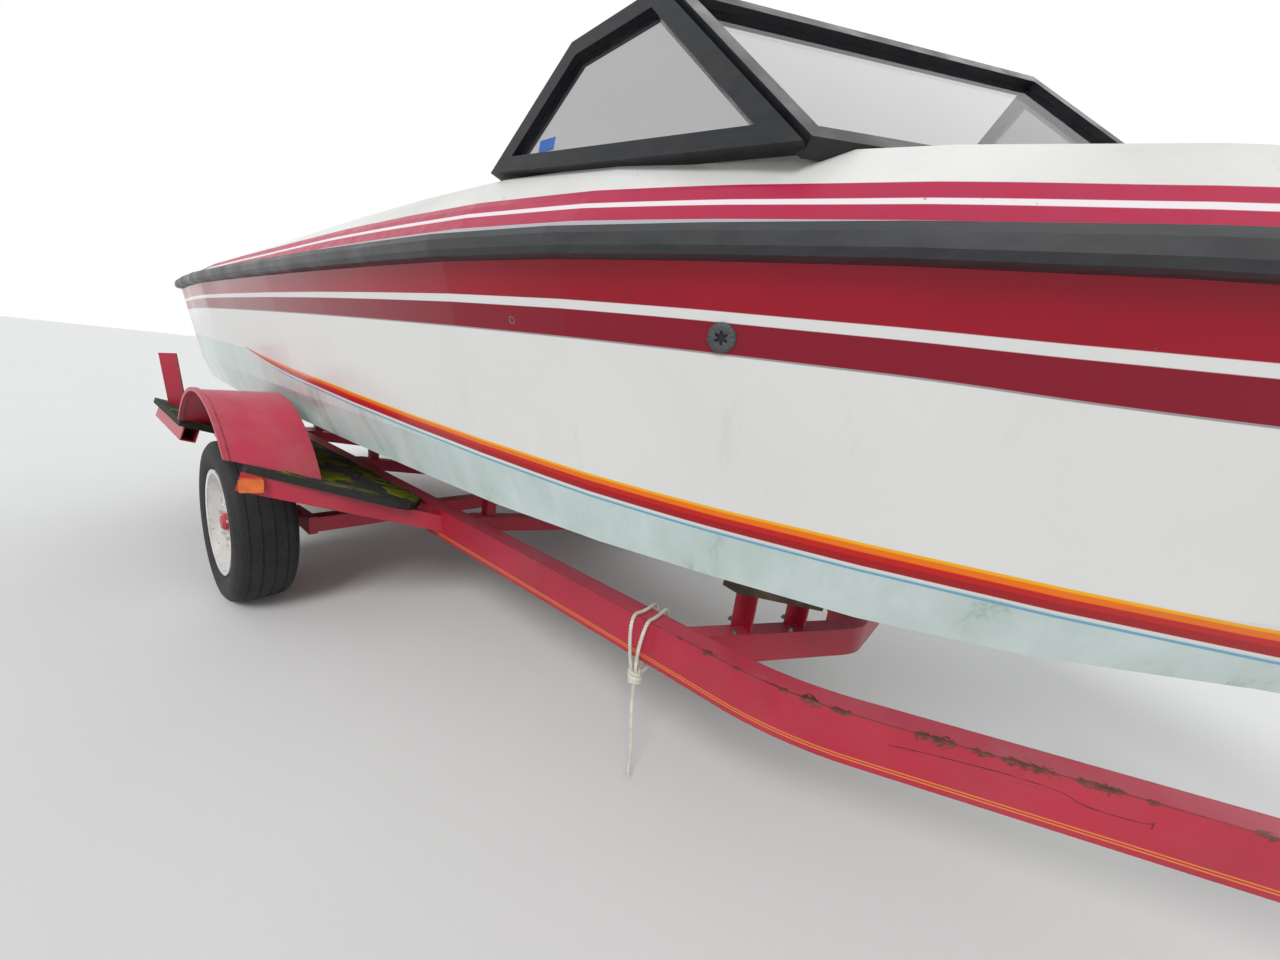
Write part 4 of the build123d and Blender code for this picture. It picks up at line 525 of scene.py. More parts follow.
def plain(name, light, dark, rough=0.5, scale=30.0, grain=0.2, metal=0.0, stretch=(1, 1, 1), dirt=0.25):
    """Two-tone material with cloudy dirt and fine grain."""
    s = Shade(name, Metallic=metal)
    cloud = s.noise(scale * 0.12, 5.0)
    fine = s.noise(scale, 6.0, 0.6, stretch, 2.0)
    paint = s.mix(s.ramp(fine, 0.3, 0.7), light, dark)
    paint = s.mix(s.both(s.ramp(cloud, 0.45, 0.75), dirt), paint, GRIME)
    s.colour(paint)
    s.rough(s.node("MapRange", cloud, 0.3, 0.7, rough - 0.1, rough + 0.15).outputs[0])
    s.bump(fine, grain, 0.001)
    return s.material


def rim_paint():
    """White wheel paint with rust specks and brake dust."""
    s = Shade("rim_paint", Coat_Weight=0.1)
    fine = s.noise(70.0, 8.0, 0.7, (1, 1, 1), 4.0)
    cloud = s.noise(9.0, 5.0)
    specks = s.both(s.ramp(fine, 0.60, 0.66), s.ramp(cloud, 0.38, 0.6))
    worn = s.both(s.edges(0.008), s.ramp(fine, 0.42, 0.6))
    paint = s.mix(s.ramp(cloud, 0.35, 0.75), rgb(228, 227, 224), rgb(196, 192, 186))
    paint = s.mix(s.math("MAXIMUM", specks, s.both(worn, 0.8)), paint, rgb(124, 66, 34))
    s.colour(paint).rough(0.45)
    s.bump(fine, 0.15, 0.001)
    return s.material


def tyre_rubber():
    """Weathered black rubber with dust in the sidewall and fine cracks."""
    s = Shade("tyre_rubber", Specular_IOR_Level=0.35)
    cloud = s.noise(7.0, 5.0)
    cracks = s.noise(160.0, 4.0, 0.6, (1, 1, 1), 3.0)
    paint = s.mix(s.ramp(cloud, 0.35, 0.75), rgb(30, 30, 33), rgb(50, 49, 49))
    paint = s.mix(s.both(s.ramp(cracks, 0.55, 0.7), 0.3), paint, rgb(92, 88, 82))
    s.colour(paint).rough(0.72)
    s.bump(cracks, 0.25, 0.0008)
    return s.material


def smoked_glass():
    """Thin smoked acrylic with dust."""
    s = Shade("smoked_glass", Roughness=0.04, IOR=1.45, Alpha=0.36, Coat_Weight=0.2, Coat_Roughness=0.04)
    haze = s.noise(12.0, 6.0, 0.65)
    s.colour(s.mix(s.ramp(haze, 0.4, 0.75), rgb(16, 17, 26), rgb(52, 50, 56)))
    return s.material


def lens(name, colour):
    """Moulded lamp lens with fine ribs."""
    s = Shade(name, Roughness=0.18, Coat_Weight=0.6)
    ribs = s.math("SINE", s.math("MULTIPLY", s.z, 900.0))
    shadowed = tuple(c * 0.55 for c in colour[:3]) + (1.0,)
    s.colour(s.mix(s.ramp(s.noise(20.0, 4.0), 0.35, 0.7), colour, shadowed))
    s.bump(ribs, 0.3, 0.0006)
    return s.material


def vinyl():
    """Cream upholstery vinyl with leather grain and slight mildew."""
    s = Shade("vinyl", Sheen_Weight=0.1, Specular_IOR_Level=0.4)
    cells = s.node("TexVoronoi", s.place, None, 420.0).outputs[0]
    cloud = s.noise(5.0, 6.0)
    spots = s.both(s.ramp(s.noise(60.0, 5.0, 0.6, (1, 1, 1), 5.0), 0.6, 0.68), s.ramp(cloud, 0.45, 0.65))
    paint = s.mix(s.ramp(cloud, 0.35, 0.7), rgb(222, 216, 204), rgb(204, 196, 182))
    s.colour(s.mix(s.both(spots, 0.5), paint, rgb(112, 108, 92))).rough(0.48)
    s.bump(cells, 0.12, 0.0006)
    return s.material


def red_vinyl():
    """Crimson vinyl of the seats' welts and side panels."""
    s = Shade("red_vinyl", Specular_IOR_Level=0.4)
    cells = s.node("TexVoronoi", s.place, None, 420.0).outputs[0]
    cloud = s.ramp(s.noise(8.0, 5.0), 0.35, 0.7)
    s.colour(s.mix(cloud, rgb(156, 26, 46), rgb(134, 24, 42))).rough(0.45)
    s.bump(cells, 0.12, 0.0006)
    return s.material


def timber():
    """Grey weathered bunk timber."""
    s = Shade("timber")
    grain = s.noise(18.0, 6.0, 0.6, (0.08, 1, 1), 2.0)
    s.colour(s.mix(s.ramp(grain, 0.35, 0.65), rgb(104, 90, 72), rgb(66, 56, 46))).rough(0.85)
    s.bump(grain, 0.4, 0.002)
    return s.material


def moss_pad():
    """Black grip pad under yellow-green moss."""
    s = Shade("moss_pad")
    patch = s.noise(9.0, 5.0, 0.6, (1, 1, 0.2), 2.0)
    tuft = s.noise(130.0, 5.0, 0.7, (1, 1, 1), 6.0)
    top = s.ramp(s.facing_z, 0.3, 0.7)
    green = s.mix(s.ramp(tuft, 0.35, 0.65), rgb(58, 70, 18), rgb(132, 136, 26))
    mask = s.both(s.both(s.ramp(patch, 0.54, 0.66), s.ramp(tuft, 0.34, 0.52)), top)
    base = s.mix(s.ramp(tuft, 0.3, 0.7), rgb(26, 28, 26), rgb(44, 46, 40))
    s.colour(s.mix(mask, base, green)).rough(0.9)
    s.bump(tuft, 0.8, 0.004)
    return s.material


def moss_tuft():
    """Yellow-green moss, browner where it is dry."""
    s = Shade("moss_tuft", Specular_IOR_Level=0.2)
    tuft = s.noise(160.0, 5.0, 0.7, (1, 1, 1), 6.0)
    patch = s.noise(14.0, 4.0, 0.6, (1, 1, 0.2), 2.0)
    green = s.mix(s.ramp(tuft, 0.35, 0.65), rgb(70, 82, 18), rgb(146, 150, 30))
    s.colour(s.mix(s.ramp(patch, 0.45, 0.65), green, rgb(86, 78, 34))).rough(0.95)
    s.bump(tuft, 1.0, 0.004)
    return s.material


def rope_fibre():
    """Weathered white rope."""
    s = Shade("rope_fibre", Sheen_Weight=0.3)
    fine = s.noise(400.0, 3.0)
    cloud = s.ramp(s.noise(30.0, 4.0), 0.35, 0.7)
    s.colour(s.mix(cloud, rgb(224, 220, 208), rgb(190, 184, 168))).rough(0.85)
    s.bump(fine, 0.5, 0.0006)
    return s.material


def webbing():
    """Woven strap."""
    s = Shade("webbing", Sheen_Weight=0.2)
    along, across = (s.math("SINE", s.math("MULTIPLY", place, 2400.0)) for place in (s.x, s.y))
    weave = s.math("MULTIPLY", along, across)
    s.colour(s.mix(s.ramp(weave, -0.5, 0.6), rgb(46, 46, 52), rgb(30, 30, 36))).rough(0.9)
    s.bump(weave, 0.4, 0.0006)
    return s.material


materials = {
    "hull": hull_gelcoat(),
    "deck": deck_gelcoat(),
    "liner": plain("liner_gelcoat", rgb(216, 214, 206), rgb(198, 196, 188), 0.4, 24.0, 0.05),
    "rubber": plain("rub_rubber", rgb(52, 53, 56), rgb(36, 37, 40), 0.42, 60.0, 0.12, stretch=(0.3, 1, 1),
                    dirt=0.35),
    "dash": plain("dash_vinyl", rgb(26, 32, 46), rgb(18, 22, 34), 0.6, 300.0, 0.3, dirt=0.15),
    "plastic": plain("black_plastic", rgb(34, 34, 36), rgb(22, 22, 24), 0.45, 200.0, 0.15, dirt=0.15),
    "iron": plain("engine_iron", rgb(58, 60, 62), rgb(44, 46, 48), 0.6, 60.0, 0.4, dirt=0.5),
    "frame": plain("dark_aluminium", rgb(46, 48, 52), rgb(34, 36, 40), 0.36, 90.0, 0.08, metal=0.5,
                   stretch=(0.3, 0.3, 1)),
    "drive": plain("drive_paint", rgb(42, 43, 46), rgb(30, 31, 34), 0.4, 50.0, 0.1, dirt=0.4),
    "prop": plain("propeller_paint", rgb(60, 60, 62), rgb(44, 44, 46), 0.35, 60.0, 0.1, metal=0.6),
    "zinc": plain("zinc_steel", rgb(168, 168, 166), rgb(136, 136, 134), 0.42, 45.0, 0.12, metal=0.85,
                  dirt=0.4),
    "black_rubber": plain("roller_rubber", rgb(40, 40, 42), rgb(28, 28, 30), 0.7, 80.0, 0.2),
    "red": trailer_paint("trailer_paint"),
    "rail": trailer_paint("rail_paint", pinstripes=True),
    "rim": rim_paint(),
    "tyre": tyre_rubber(),
    "glass": smoked_glass(),
    "red_lens": lens("red_lens", rgb(190, 16, 20)),
    "amber": lens("amber_lens", rgb(240, 112, 16)),
    "vinyl": vinyl(),
    "red_vinyl": red_vinyl(),
    "timber": timber(),
    "moss": moss_pad(),
    "moss_tuft": moss_tuft(),
    "fitting": plain("fitting_plastic", rgb(84, 86, 90), rgb(62, 64, 68), 0.5, 120.0, 0.15, dirt=0.4),
    "rope": rope_fibre(),
    "sticker": plain("sticker_vinyl", rgb(34, 104, 186), rgb(24, 82, 160), 0.4, 90.0, 0.05),
    "webbing": webbing(),
}

# Which material each CAD node wears
WEAR = {
    "hull": ["hull"],
    "deck": ["deck", "hatch_lid"],
    "liner": ["cockpit_liner", "seat_bases"],
    "rubber": ["rub_rail"],
    "dash": ["dash"],
    "plastic": ["instruments", "steering_wheel", "helm_boss"],
    "iron": ["engine"],
    "frame": ["screen_frame", "wing_frames"],
    "drive": ["drive_housing", "steering_yoke", "drive_leg"],
    "prop": ["propeller"],
    "zinc": ["hatch_hinges", "bow_eye", "coupler", "jack_tube", "jack_leg", "jack_fork", "winch"],
    "black_rubber": ["rollers", "jack_wheel"],
    "red": ["cross_members", "outriggers", "fenders", "axle", "port_hub", "starboard_hub", "hull_supports",
            "drawbar", "winch_post", "guide_posts"],
    "rail": ["port_rail", "starboard_rail"],
    "rim": ["port_rim", "starboard_rim"],
    "tyre": ["port_tyre", "starboard_tyre"],
    "glass": ["screen_panes"],
    "red_lens": ["rear_lights"],
    "amber": ["side_markers"],
    "vinyl": ["lounge_seats", "aft_bench", "sun_pad"],
    "timber": ["bunks"],
    "moss": ["step_pads"],
    "rope": ["rope_turns", "rope_tail"],
    "webbing": ["winch_strap"],
}
for kind, names in WEAR.items():
    for name in names:
        nodes[name].data.materials.clear()
        nodes[name].data.materials.append(materials[kind])


def box_of(node):
    """Lowest and highest corner of a CAD node."""
    return [Vector(corner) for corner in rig.box(node)]


def add_mesh(name, bm, material, body="boat_and_trailer", smooth=True):
    """New piece from a bmesh, in a material, riding on a body."""
    mesh = bpy.data.meshes.new(name)
    bmesh.ops.recalc_face_normals(bm, faces=bm.faces)
    bm.to_mesh(mesh)
    bm.free()
    mesh.polygons.foreach_set("use_smooth", [smooth] * len(mesh.polygons))
    piece = bpy.data.objects.new(name, mesh)
    bpy.context.scene.collection.objects.link(piece)
    mesh.materials.append(materials[material])
    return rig.ride(piece, body)


# Ropes: a laid rope whose strands follow the route's own smooth spline

ROPE_D = 0.008
ROPE_STEP = 0.0016           # between the rings of a strand
STRAND_R = ROPE_D * 0.295
STRAND_OUT = ROPE_D * 0.315  # strand's middle from the rope's
ROPE_MIDDLE = (0.492, -0.585, 0.4025)   # middle of the rail's section where the rope goes round it
ROPE_LEAN = 0.08             # a turn leans forward by this share of its way out
HITCH_TURNS, HITCH_POINTS = 6.05, 240
HITCH = Vector((0.496, -0.626, 0.3036))
# Corners of a turn: outward and up from the rail's middle, then how far it strays along the rail
TURN = [(0.040, -0.0915, 0.0), (0.052, -0.082, 0.1), (0.063, -0.010, 0.5), (0.060, 0.044, 0.9),
        (0.046, 0.0685, 1.0), (0.016, 0.0625, 0.9), (-0.018, 0.0625, 0.8), (-0.048, 0.0680, 0.8),
        (-0.060, 0.040, 0.7), (-0.057, -0.028, 0.5), (-0.038, -0.070, 0.3), (-0.015, -0.092, 0.1),
        (0.014, -0.1005, 0.0), (0.034, -0.1025, 0.0)]
TURNS = (("rope_turn_aft", -0.005, -0.017), ("rope_turn_fore", 0.005, 0.018))   # name, shift and stray
TAIL = [(0.502, -0.630, 0.205), (0.514, -0.625, 0.125), (0.524, -0.634, 0.062), (0.529, -0.639, 0.019)]


def spline_points(name, controls):
    """Points along the smooth NURBS line that these control points give."""
    data = bpy.data.curves.new(name, "CURVE")
    data.dimensions = "3D"
    line = data.splines.new("NURBS")
    line.points.add(len(controls) - 1)
    for point, place in zip(line.points, controls):
        point.co = (*place, 1.0)
    line.order_u = 3
    line.use_endpoint_u = True
    line.resolution_u = 24
    route = bpy.data.objects.new(name, data)
    mesh = bpy.data.meshes.new_from_object(route)
    places = [vertex.co.copy() for vertex in mesh.vertices]
    bpy.data.objects.remove(route)
    return places


def walk(places, step):
    """The same line with its points one step apart."""
    result, spare = [places[0]], 0.0
    for a, b in zip(places, places[1:]):
        run = (b - a).length
        done = step - spare
        while done <= run:
            result.append(a.lerp(b, done / run))
            done += step
        spare = run - (done - step)
    return result


def axes_along(places):
    """Two directions across the line at each of its points, without twist."""
    across = None
    for i in range(len(places)):
        ahead = (places[min(i + 1, len(places) - 1)] - places[max(i - 1, 0)]).normalized()
        if across is None:
            across = ahead.orthogonal().normalized()
        across = (across - ahead * across.dot(ahead)).normalized()
        yield across, ahead.cross(across)


def tube_mesh(bm, places, radius, sides, closed=False):
    """Round tube of quads along points."""
    angles = [2 * math.pi * k / sides for k in range(sides)]
    rings = []
    for place, (across, other) in zip(places, axes_along(places)):
        outward = [across * math.cos(t) + other * math.sin(t) for t in angles]
        rings.append([bm.verts.new(place + out * radius) for out in outward])
    pairs = list(zip(rings, rings[1:]))
    if closed:
        pairs.append((rings[-1], rings[0]))
    for low, high in pairs:
        for k in range(sides):
            bm.faces.new((low[k], low[(k + 1) % sides], high[(k + 1) % sides], high[k]))
    if not closed:
        bm.faces.new(list(reversed(rings[0])))
        bm.faces.new(rings[-1])


def laid_rope(name, places, pitch=0.026, frayed=0.0):
    """Three strands twisted round a line; at its end they may spread apart over a length."""
    places = walk(places, ROPE_STEP)
    bm = bmesh.new()
    for k in range(3):
        strand = []
        for i, (place, (across, other)) in enumerate(zip(places, axes_along(places))):
            turn = 2 * math.pi * (i * ROPE_STEP / pitch + k / 3)
            left = (len(places) - 1 - i) * ROPE_STEP
            spread = 1.0 + (0.9 * (1 - left / frayed) if frayed and left < frayed else 0.0)
            out = across * math.cos(turn) + other * math.sin(turn)
            strand.append(place + out * (STRAND_OUT * spread))
        tube_mesh(bm, strand, STRAND_R, 7)
    return add_mesh(name, bm, "rope"), places


def lay_ropes():
    """Two loose turns round the starboard rail, the hitch that ties them and its hanging tail."""
    mid_x, rail_y, rail_z = ROPE_MIDDLE
    for name, shift, fan in TURNS:
        controls = [(mid_x + shift + fan * stray + ROPE_LEAN * out, rail_y - out, rail_z + up)
                    for out, up, stray in TURN]
        rope, path = laid_rope(name, spline_points(name, controls))
        length = sum((b - a).length for a, b in zip(path, path[1:]))
        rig.cord(rope, exit=path[0], length=round(length, 3), diameter=ROPE_D, far_end="knot",
                stiffness="limp", lay="taut", path=path)
        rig.replaces(rope, "rope_turns")
    # Hitch: six close turns of rope that wander over one another
    coil = []
    for i in range(HITCH_POINTS + 1):
        t = i / HITCH_POINTS
        angle = 2 * math.pi * HITCH_TURNS * t
        r = 0.0105 + 0.0030 * math.sin(math.pi * t) + 0.0024 * math.sin(2 * math.pi * 2.6 * t)
        level = 0.012 - 0.026 * t + 0.009 * math.sin(angle * 0.52)
        coil.append(HITCH + Vector((r * math.cos(angle), r * math.sin(angle), level)))
    knot, _ = laid_rope("rope_hitch", coil, 0.022)
    controls = [tuple(HITCH + Vector((0.0, 0.0, -0.006)))] + TAIL
    tail, path = laid_rope("rope_end", spline_points("rope_tail_line", controls), frayed=0.02)
    length = sum((b - a).length for a, b in zip(path, path[1:]))
    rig.cord(tail, exit=path[0], length=round(length, 3), diameter=ROPE_D, far_end="bare",
            stiffness="limp", lay="hanging", path=path, with_pieces=[knot])
    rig.replaces(tail, "rope_tail")


# Cushions: crowned closed forms with welts at their seams

PAD_FILL = 0.6
PAD_CUTS = 26                # quads along each edge of a pad
CHANNEL_DEPTH, CHANNEL_HALF = 0.010, 0.007
WRINKLE = 0.0022
WELT_R = 0.0032
WELT_POINTS = 160


def cushion(name, low, high, crown=0.018, pull=0.010, taper=0.0, bow=None, channels=(),
            body="boat_and_trailer"):
    """Stuffed pad between two corners. Taper narrows its top fore and aft, bow lifts it over a curve,
    and channels are sewn lines across it, as shares of its length."""
    low, high = Vector(low), Vector(high)
    middle, half = (low + high) / 2, (high - low) / 2
    round_off = min(half) * 0.75

    def place(u, v, w, out=0.0):
        """Point on the pad's skin for a point on a cube's faces."""
        spot = Vector((u * half.x, v * half.y, w * half.z))
        core = Vector([max(-(h - round_off), min(h - round_off, c)) for c, h in zip(spot, half)])
        away = spot - core
        if away.length > 0:
            away = away.normalized() * min(away.length, round_off)
        spot = core + away
        fat = (1 - abs(u) ** 3) * (1 - abs(v) ** 3)
        lift = 0.0
        if w > 0:
            lift = w * crown * fat
            for share in channels:
                near = abs((u + 1) / 2 - share) * 2 * half.x
                lift -= w * CHANNEL_DEPTH * math.exp(-(near / CHANNEL_HALF) ** 2) * (1 - abs(v) ** 10)
        edge = 1 - abs(w) ** 2
        spot.x -= math.copysign(pull * (1 - v * v) * abs(u) ** 4, u) * (1 - 0.5 * edge)
        spot.y -= math.copysign(pull * (1 - u * u) * abs(v) ** 4, v) * (1 - 0.5 * edge)
        if taper:
            spot.x *= 1 - taper * (w + 1) / 2
        wrinkle = noise.noise(Vector((u * 5 + middle.x, v * 5 + middle.y, w * 3))) * WRINKLE
        spot.z += lift + (wrinkle if w > 0 else 0.0)
        spot += middle
        if bow:
            spot.z += bow(spot.x, spot.y)
        return spot

    bm = bmesh.new()
    corners = {}

    def vertex(key):
        """Vertex for a place on the cube's grid, made once."""
        if key not in corners:
            u, v, w = (math.sin(c / PAD_CUTS * math.pi - math.pi / 2) for c in key)
            corners[key] = bm.verts.new(place(u, v, w))
        return corners[key]

    for axis in range(3):
        for fixed in (0, PAD_CUTS):
            for i in range(PAD_CUTS):
                for j in range(PAD_CUTS):
                    quad = []
                    for di, dj in ((0, 0), (1, 0), (1, 1), (0, 1)):
                        key = [i + di, j + dj]
                        key.insert(axis, fixed)
                        quad.append(vertex(tuple(key)))
                    bm.faces.new(quad)
    pad = add_mesh(name, bm, "vinyl", body)
    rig.padded(pad, PAD_FILL)
    welts = bmesh.new()
    for level in (0.62, -0.62):
        loop = []
        for k in range(WELT_POINTS):
            t = 2 * math.pi * k / WELT_POINTS
            c, n = math.cos(t), math.sin(t)
            grow = 1 / max(abs(c), abs(n))
            loop.append(place(c * grow, n * grow, level))
        tube_mesh(welts, loop, WELT_R, 6, closed=True)
    add_mesh(name + "_welt", welts, "red_vinyl", body)
    return pad


SIDES = ((STARBOARD, "starboard"), (PORT, "port"))
PAD_GAP = 0.002              # each pad's share of the gap to its neighbour
SEAT_Y = (0.150, 0.590)      # a lounge seat's inner and outer edge
SEAT_X = (0.070, 0.466)      # its cushions' ends, from the middle of the backrests
SEAT_THICK, BENCH_THICK, SUN_PAD_THICK = 0.098, 0.096, 0.046
BACK_HALF, BACK_FOOT, BACK_TOP = 0.062, 0.060, 0.372


def skin_of(node):
    """A CAD node's surface, for rays and nearest points."""
    return BVHTree.FromObject(nodes[node], bpy.context.evaluated_depsgraph_get())


def dress_lounge_seats():
    """Two back-to-back lounge seats."""
    lo, hi = box_of("lounge_seats")
    back_x, base = (lo.x + hi.x) / 2, lo.z
    pads = []
    for side, tag in SIDES:
        y0, y1 = sorted(side * y for y in SEAT_Y)
        for end, word in ((1, "fore"), (-1, "aft")):
            x0, x1 = sorted(back_x + end * x for x in SEAT_X)
            pads.append(cushion(f"seat_{tag}_{word}", (x0, y0 + PAD_GAP, base),
                                (x1, y1 - PAD_GAP, base + SEAT_THICK), channels=(0.34, 0.66)))
        pads.append(cushion(f"seat_back_{tag}", (back_x - BACK_HALF, y0, base + BACK_FOOT),
                            (back_x + BACK_HALF, y1, base + BACK_TOP), crown=0.006, pull=0.006, taper=0.42))
    for pad in pads:
        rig.replaces(pad, "lounge_seats")


def dress_bench():
    """Aft bench of three seats and three backs."""
    lo, hi = box_of("aft_bench")
    wide = (hi.y - lo.y) / 3
    for k in range(3):
        y0, y1 = lo.y + k * wide + PAD_GAP, lo.y + (k + 1) * wide - PAD_GAP
        seat = cushion(f"bench_seat_{k + 1}", (lo.x + 0.100, y0, lo.z),
                       (hi.x - 0.004, y1, lo.z + BENCH_THICK), channels=(0.5,))
        back = cushion(f"bench_back_{k + 1}", (lo.x + 0.002, y0, lo.z + 0.070),
                       (lo.x + 0.098, y1, hi.z - 0.006), crown=0.004, pull=0.006, taper=0.2)
        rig.replaces(seat, "aft_bench")
        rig.replaces(back, "aft_bench")


def dress_sun_pad():
    """Two pads that lie on the cambered engine hatch."""
    lo, hi = box_of("sun_pad")
    skin = skin_of("sun_pad")

    def under(x, y):
        """Rise of the lid below this place over the pad's lowest corner."""
        x = min(max(x, lo.x + 0.01), hi.x - 0.01)
        y = min(max(y, lo.y + 0.01), hi.y - 0.01)
        hit = skin.ray_cast(Vector((x, y, lo.z - 0.5)), Vector((0, 0, 1)))[0]
        return hit.z - lo.z if hit else 0.0

    long = (hi.x - lo.x) / 2
    for k in range(2):
        pad = cushion(f"sun_pad_{k + 1}", (lo.x + k * long + 0.003, lo.y + 0.004, lo.z + 0.001),
                      (lo.x + (k + 1) * long - 0.003, hi.y - 0.004, lo.z + SUN_PAD_THICK),
                      crown=0.010, bow=under, channels=(0.33, 0.67), body="hatch")
        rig.replaces(pad, "sun_pad")


# Tyres, wheels and small fittings

TYRE_STEPS = 240             # quads round a tyre
GROOVES = (-0.0545, -0.0190, 0.0190, 0.0545)
GROOVE_HALF, GROOVE_WALL, GROOVE_DEPTH = 0.0030, 0.0008, 0.0026
CROWN_SAG = 0.55             # the tread falls by this times the square of the distance from its middle
SIPE_EVERY, SIPE_DEPTH = 5, 0.0012
NUTS, NUT_CIRCLE_R, NUT_SEAT = 5, 0.066, 0.046
NUT_PARTS = ((0.0125, 0.012, 24), (0.0105, 0.021, 6), (0.0060, 0.027, 16))   # radius, depth, sides


def tyre_section(half, radius):
    """(y, radius) points of a tyre's section: one sidewall, the grooved crown and the other sidewall."""
    wall = [(-0.075, 0.190), (-0.0815, 0.2005), (-0.0840, 0.212), (-0.0905, 0.222), (-0.0955, 0.238),
            (-half + 0.0006, 0.252), (-half, 0.260), (-half + 0.0012, 0.272), (-0.0940, 0.284),
            (-0.0915, 0.289), (-0.0890, 0.2925), (-0.0850, 0.2985), (-0.0800, 0.3035)]
    crown = [(-0.0740, 0.0), (-0.0660, 0.0)]
    for middle in GROOVES:
        foot = GROOVE_HALF - GROOVE_WALL
        crown += [(middle - GROOVE_HALF, 0.0), (middle - foot, GROOVE_DEPTH), (middle + foot, GROOVE_DEPTH),
                  (middle + GROOVE_HALF, 0.0)]
    crown += [(0.0660, 0.0), (0.0740, 0.0)]
    tread = [(y, radius - 0.0006 - CROWN_SAG * y * y - deep) for y, deep in crown]
    return wall + tread + [(-y, r) for y, r in reversed(wall)]


def dress_tyre(tag, middle, centre_z, section):
    """Tyre turned from its section, with fine sipes across its outer ribs."""
    ribs = {j for j, (y, r) in enumerate(section) if 0.030 < abs(y) < 0.078 and r > 0.2995}
    bm = bmesh.new()
    rings = []
    for k in range(TYRE_STEPS):
        t = 2 * math.pi * k / TYRE_STEPS
        ring = []
        for j, (y, r) in enumerate(section):
            r -= SIPE_DEPTH if j in ribs and k % SIPE_EVERY == 0 else 0.0
            ring.append(bm.verts.new((AXLE_X + r * math.cos(t), middle + y, centre_z + r * math.sin(t))))
        rings.append(ring)
    for a, b in zip(rings, rings[1:] + rings[:1]):
        for j in range(len(section)):
            n = (j + 1) % len(section)
            bm.faces.new((a[j], a[n], b[n], b[j]))
    tyre = add_mesh(f"{tag}_road_tyre", bm, "tyre", f"{tag}_wheel")
    tyre.data.set_sharp_from_angle(angle=math.radians(28))
    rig.replaces(tyre, f"{tag}_tyre")


def dress_wheels():
    """Tyres with a worn road tread, and wheel nuts."""
    lo, hi = box_of("port_tyre")
    centre_z = (hi.z + lo.z) / 2
    section = tyre_section((hi.y - lo.y) / 2, (hi.z - lo.z) / 2)
    for side, tag in SIDES:
        middle = side * (hi.y + lo.y) / 2
        dress_tyre(tag, middle, centre_z, section)
        nuts = bmesh.new()
        turn = Matrix.Rotation(-side * math.pi / 2, 4, "X")
        for k in range(NUTS):
            t = 2 * math.pi * (k + 0.25) / NUTS
            x, z = AXLE_X + NUT_CIRCLE_R * math.cos(t), centre_z + NUT_CIRCLE_R * math.sin(t)
            for r, depth, sides in NUT_PARTS:
                place = Matrix.Translation((x, middle + side * (NUT_SEAT + depth / 2), z))
                bmesh.ops.create_cone(nuts, cap_ends=True, segments=sides, radius1=r, radius2=r * 0.92,
                                      depth=depth, matrix=place @ turn)
        add_mesh(f"{tag}_wheel_nuts", nuts, "rim", f"{tag}_wheel", smooth=False)


MOSS_CELL = 0.009
MOSS_TOP = 0.009
MOSS_SEED = 3                # noise_vector takes its offsets from the clock without one
FORE_PAD = (0.27, 0.34)      # the fore step's start ahead of the axle, and its length


def moss():
    """Lumpy moss on the steps' upward faces, in patches and denser beside the fenders' front."""
    skin, cell = skin_of("step_pads"), MOSS_CELL
    lo, hi = box_of("step_pads")
    noise.seed_set(MOSS_SEED)
    bm = bmesh.new()
    spots = {}
    for side, _ in SIDES:
        y0, y1 = sorted((side * 0.60, side * hi.y))
        for i in range(int((hi.x - lo.x) / cell)):
            for j in range(int((y1 - y0) / cell)):
                x, y = lo.x + i * cell, y0 + j * cell
                cloud = noise.fractal(Vector((x * 5.5, y * 5.5, 3.0)), 1.0, 2.0, 3)
                fine = noise.noise(Vector((x * 70, y * 70, 1.0)))
                ahead = (x - AXLE_X - FORE_PAD[0]) / FORE_PAD[1]
                height = 0.011 * cloud + 0.0045 * fine - 0.0006
                height += 0.0075 - 0.0150 * ahead if ahead > 0 else 0.0
                if height > 0:
                    hit, normal = skin.ray_cast(Vector((x, y, hi.z + 0.1)), Vector((0, 0, -1)))[:2]
                    if hit and normal.z > 0.8:
                        jitter = noise.noise_vector(Vector((x * 200, y * 200, 0.0))) * 0.002
                        jitter.z = 0.0
                        spots[side, i, j] = bm.verts.new(hit + normal * min(height, MOSS_TOP) + jitter)
    for side, i, j in list(spots):
        around = [spots.get((side, i + a, j + b)) for a, b in ((0, 0), (1, 0), (1, 1), (0, 1))]
        if all(around):
            bm.faces.new(around)
    loose = [v for v in bm.verts if not v.link_faces]
    bmesh.ops.delete(bm, geom=loose, context="VERTS")
    rim = [e for e in bm.edges if e.is_boundary]
    made = bmesh.ops.extrude_edge_only(bm, edges=rim)
    for v in (g for g in made["geom"] if isinstance(g, bmesh.types.BMVert)):
        hit, normal = skin.ray_cast(v.co + Vector((0, 0, 0.05)), Vector((0, 0, -1)))[:2]
        if hit:
            v.co = hit - normal * 0.001
    add_mesh("step_moss", bm, "moss_tuft")


DRAIN_NEAR = Vector((AXLE_X + 1.877, -0.880, 1.129))
DRAIN_STEPS = 96
# Radius of the black disc painted as shade inside the drain's hole
HOLE_SHADE_R = 0.0135


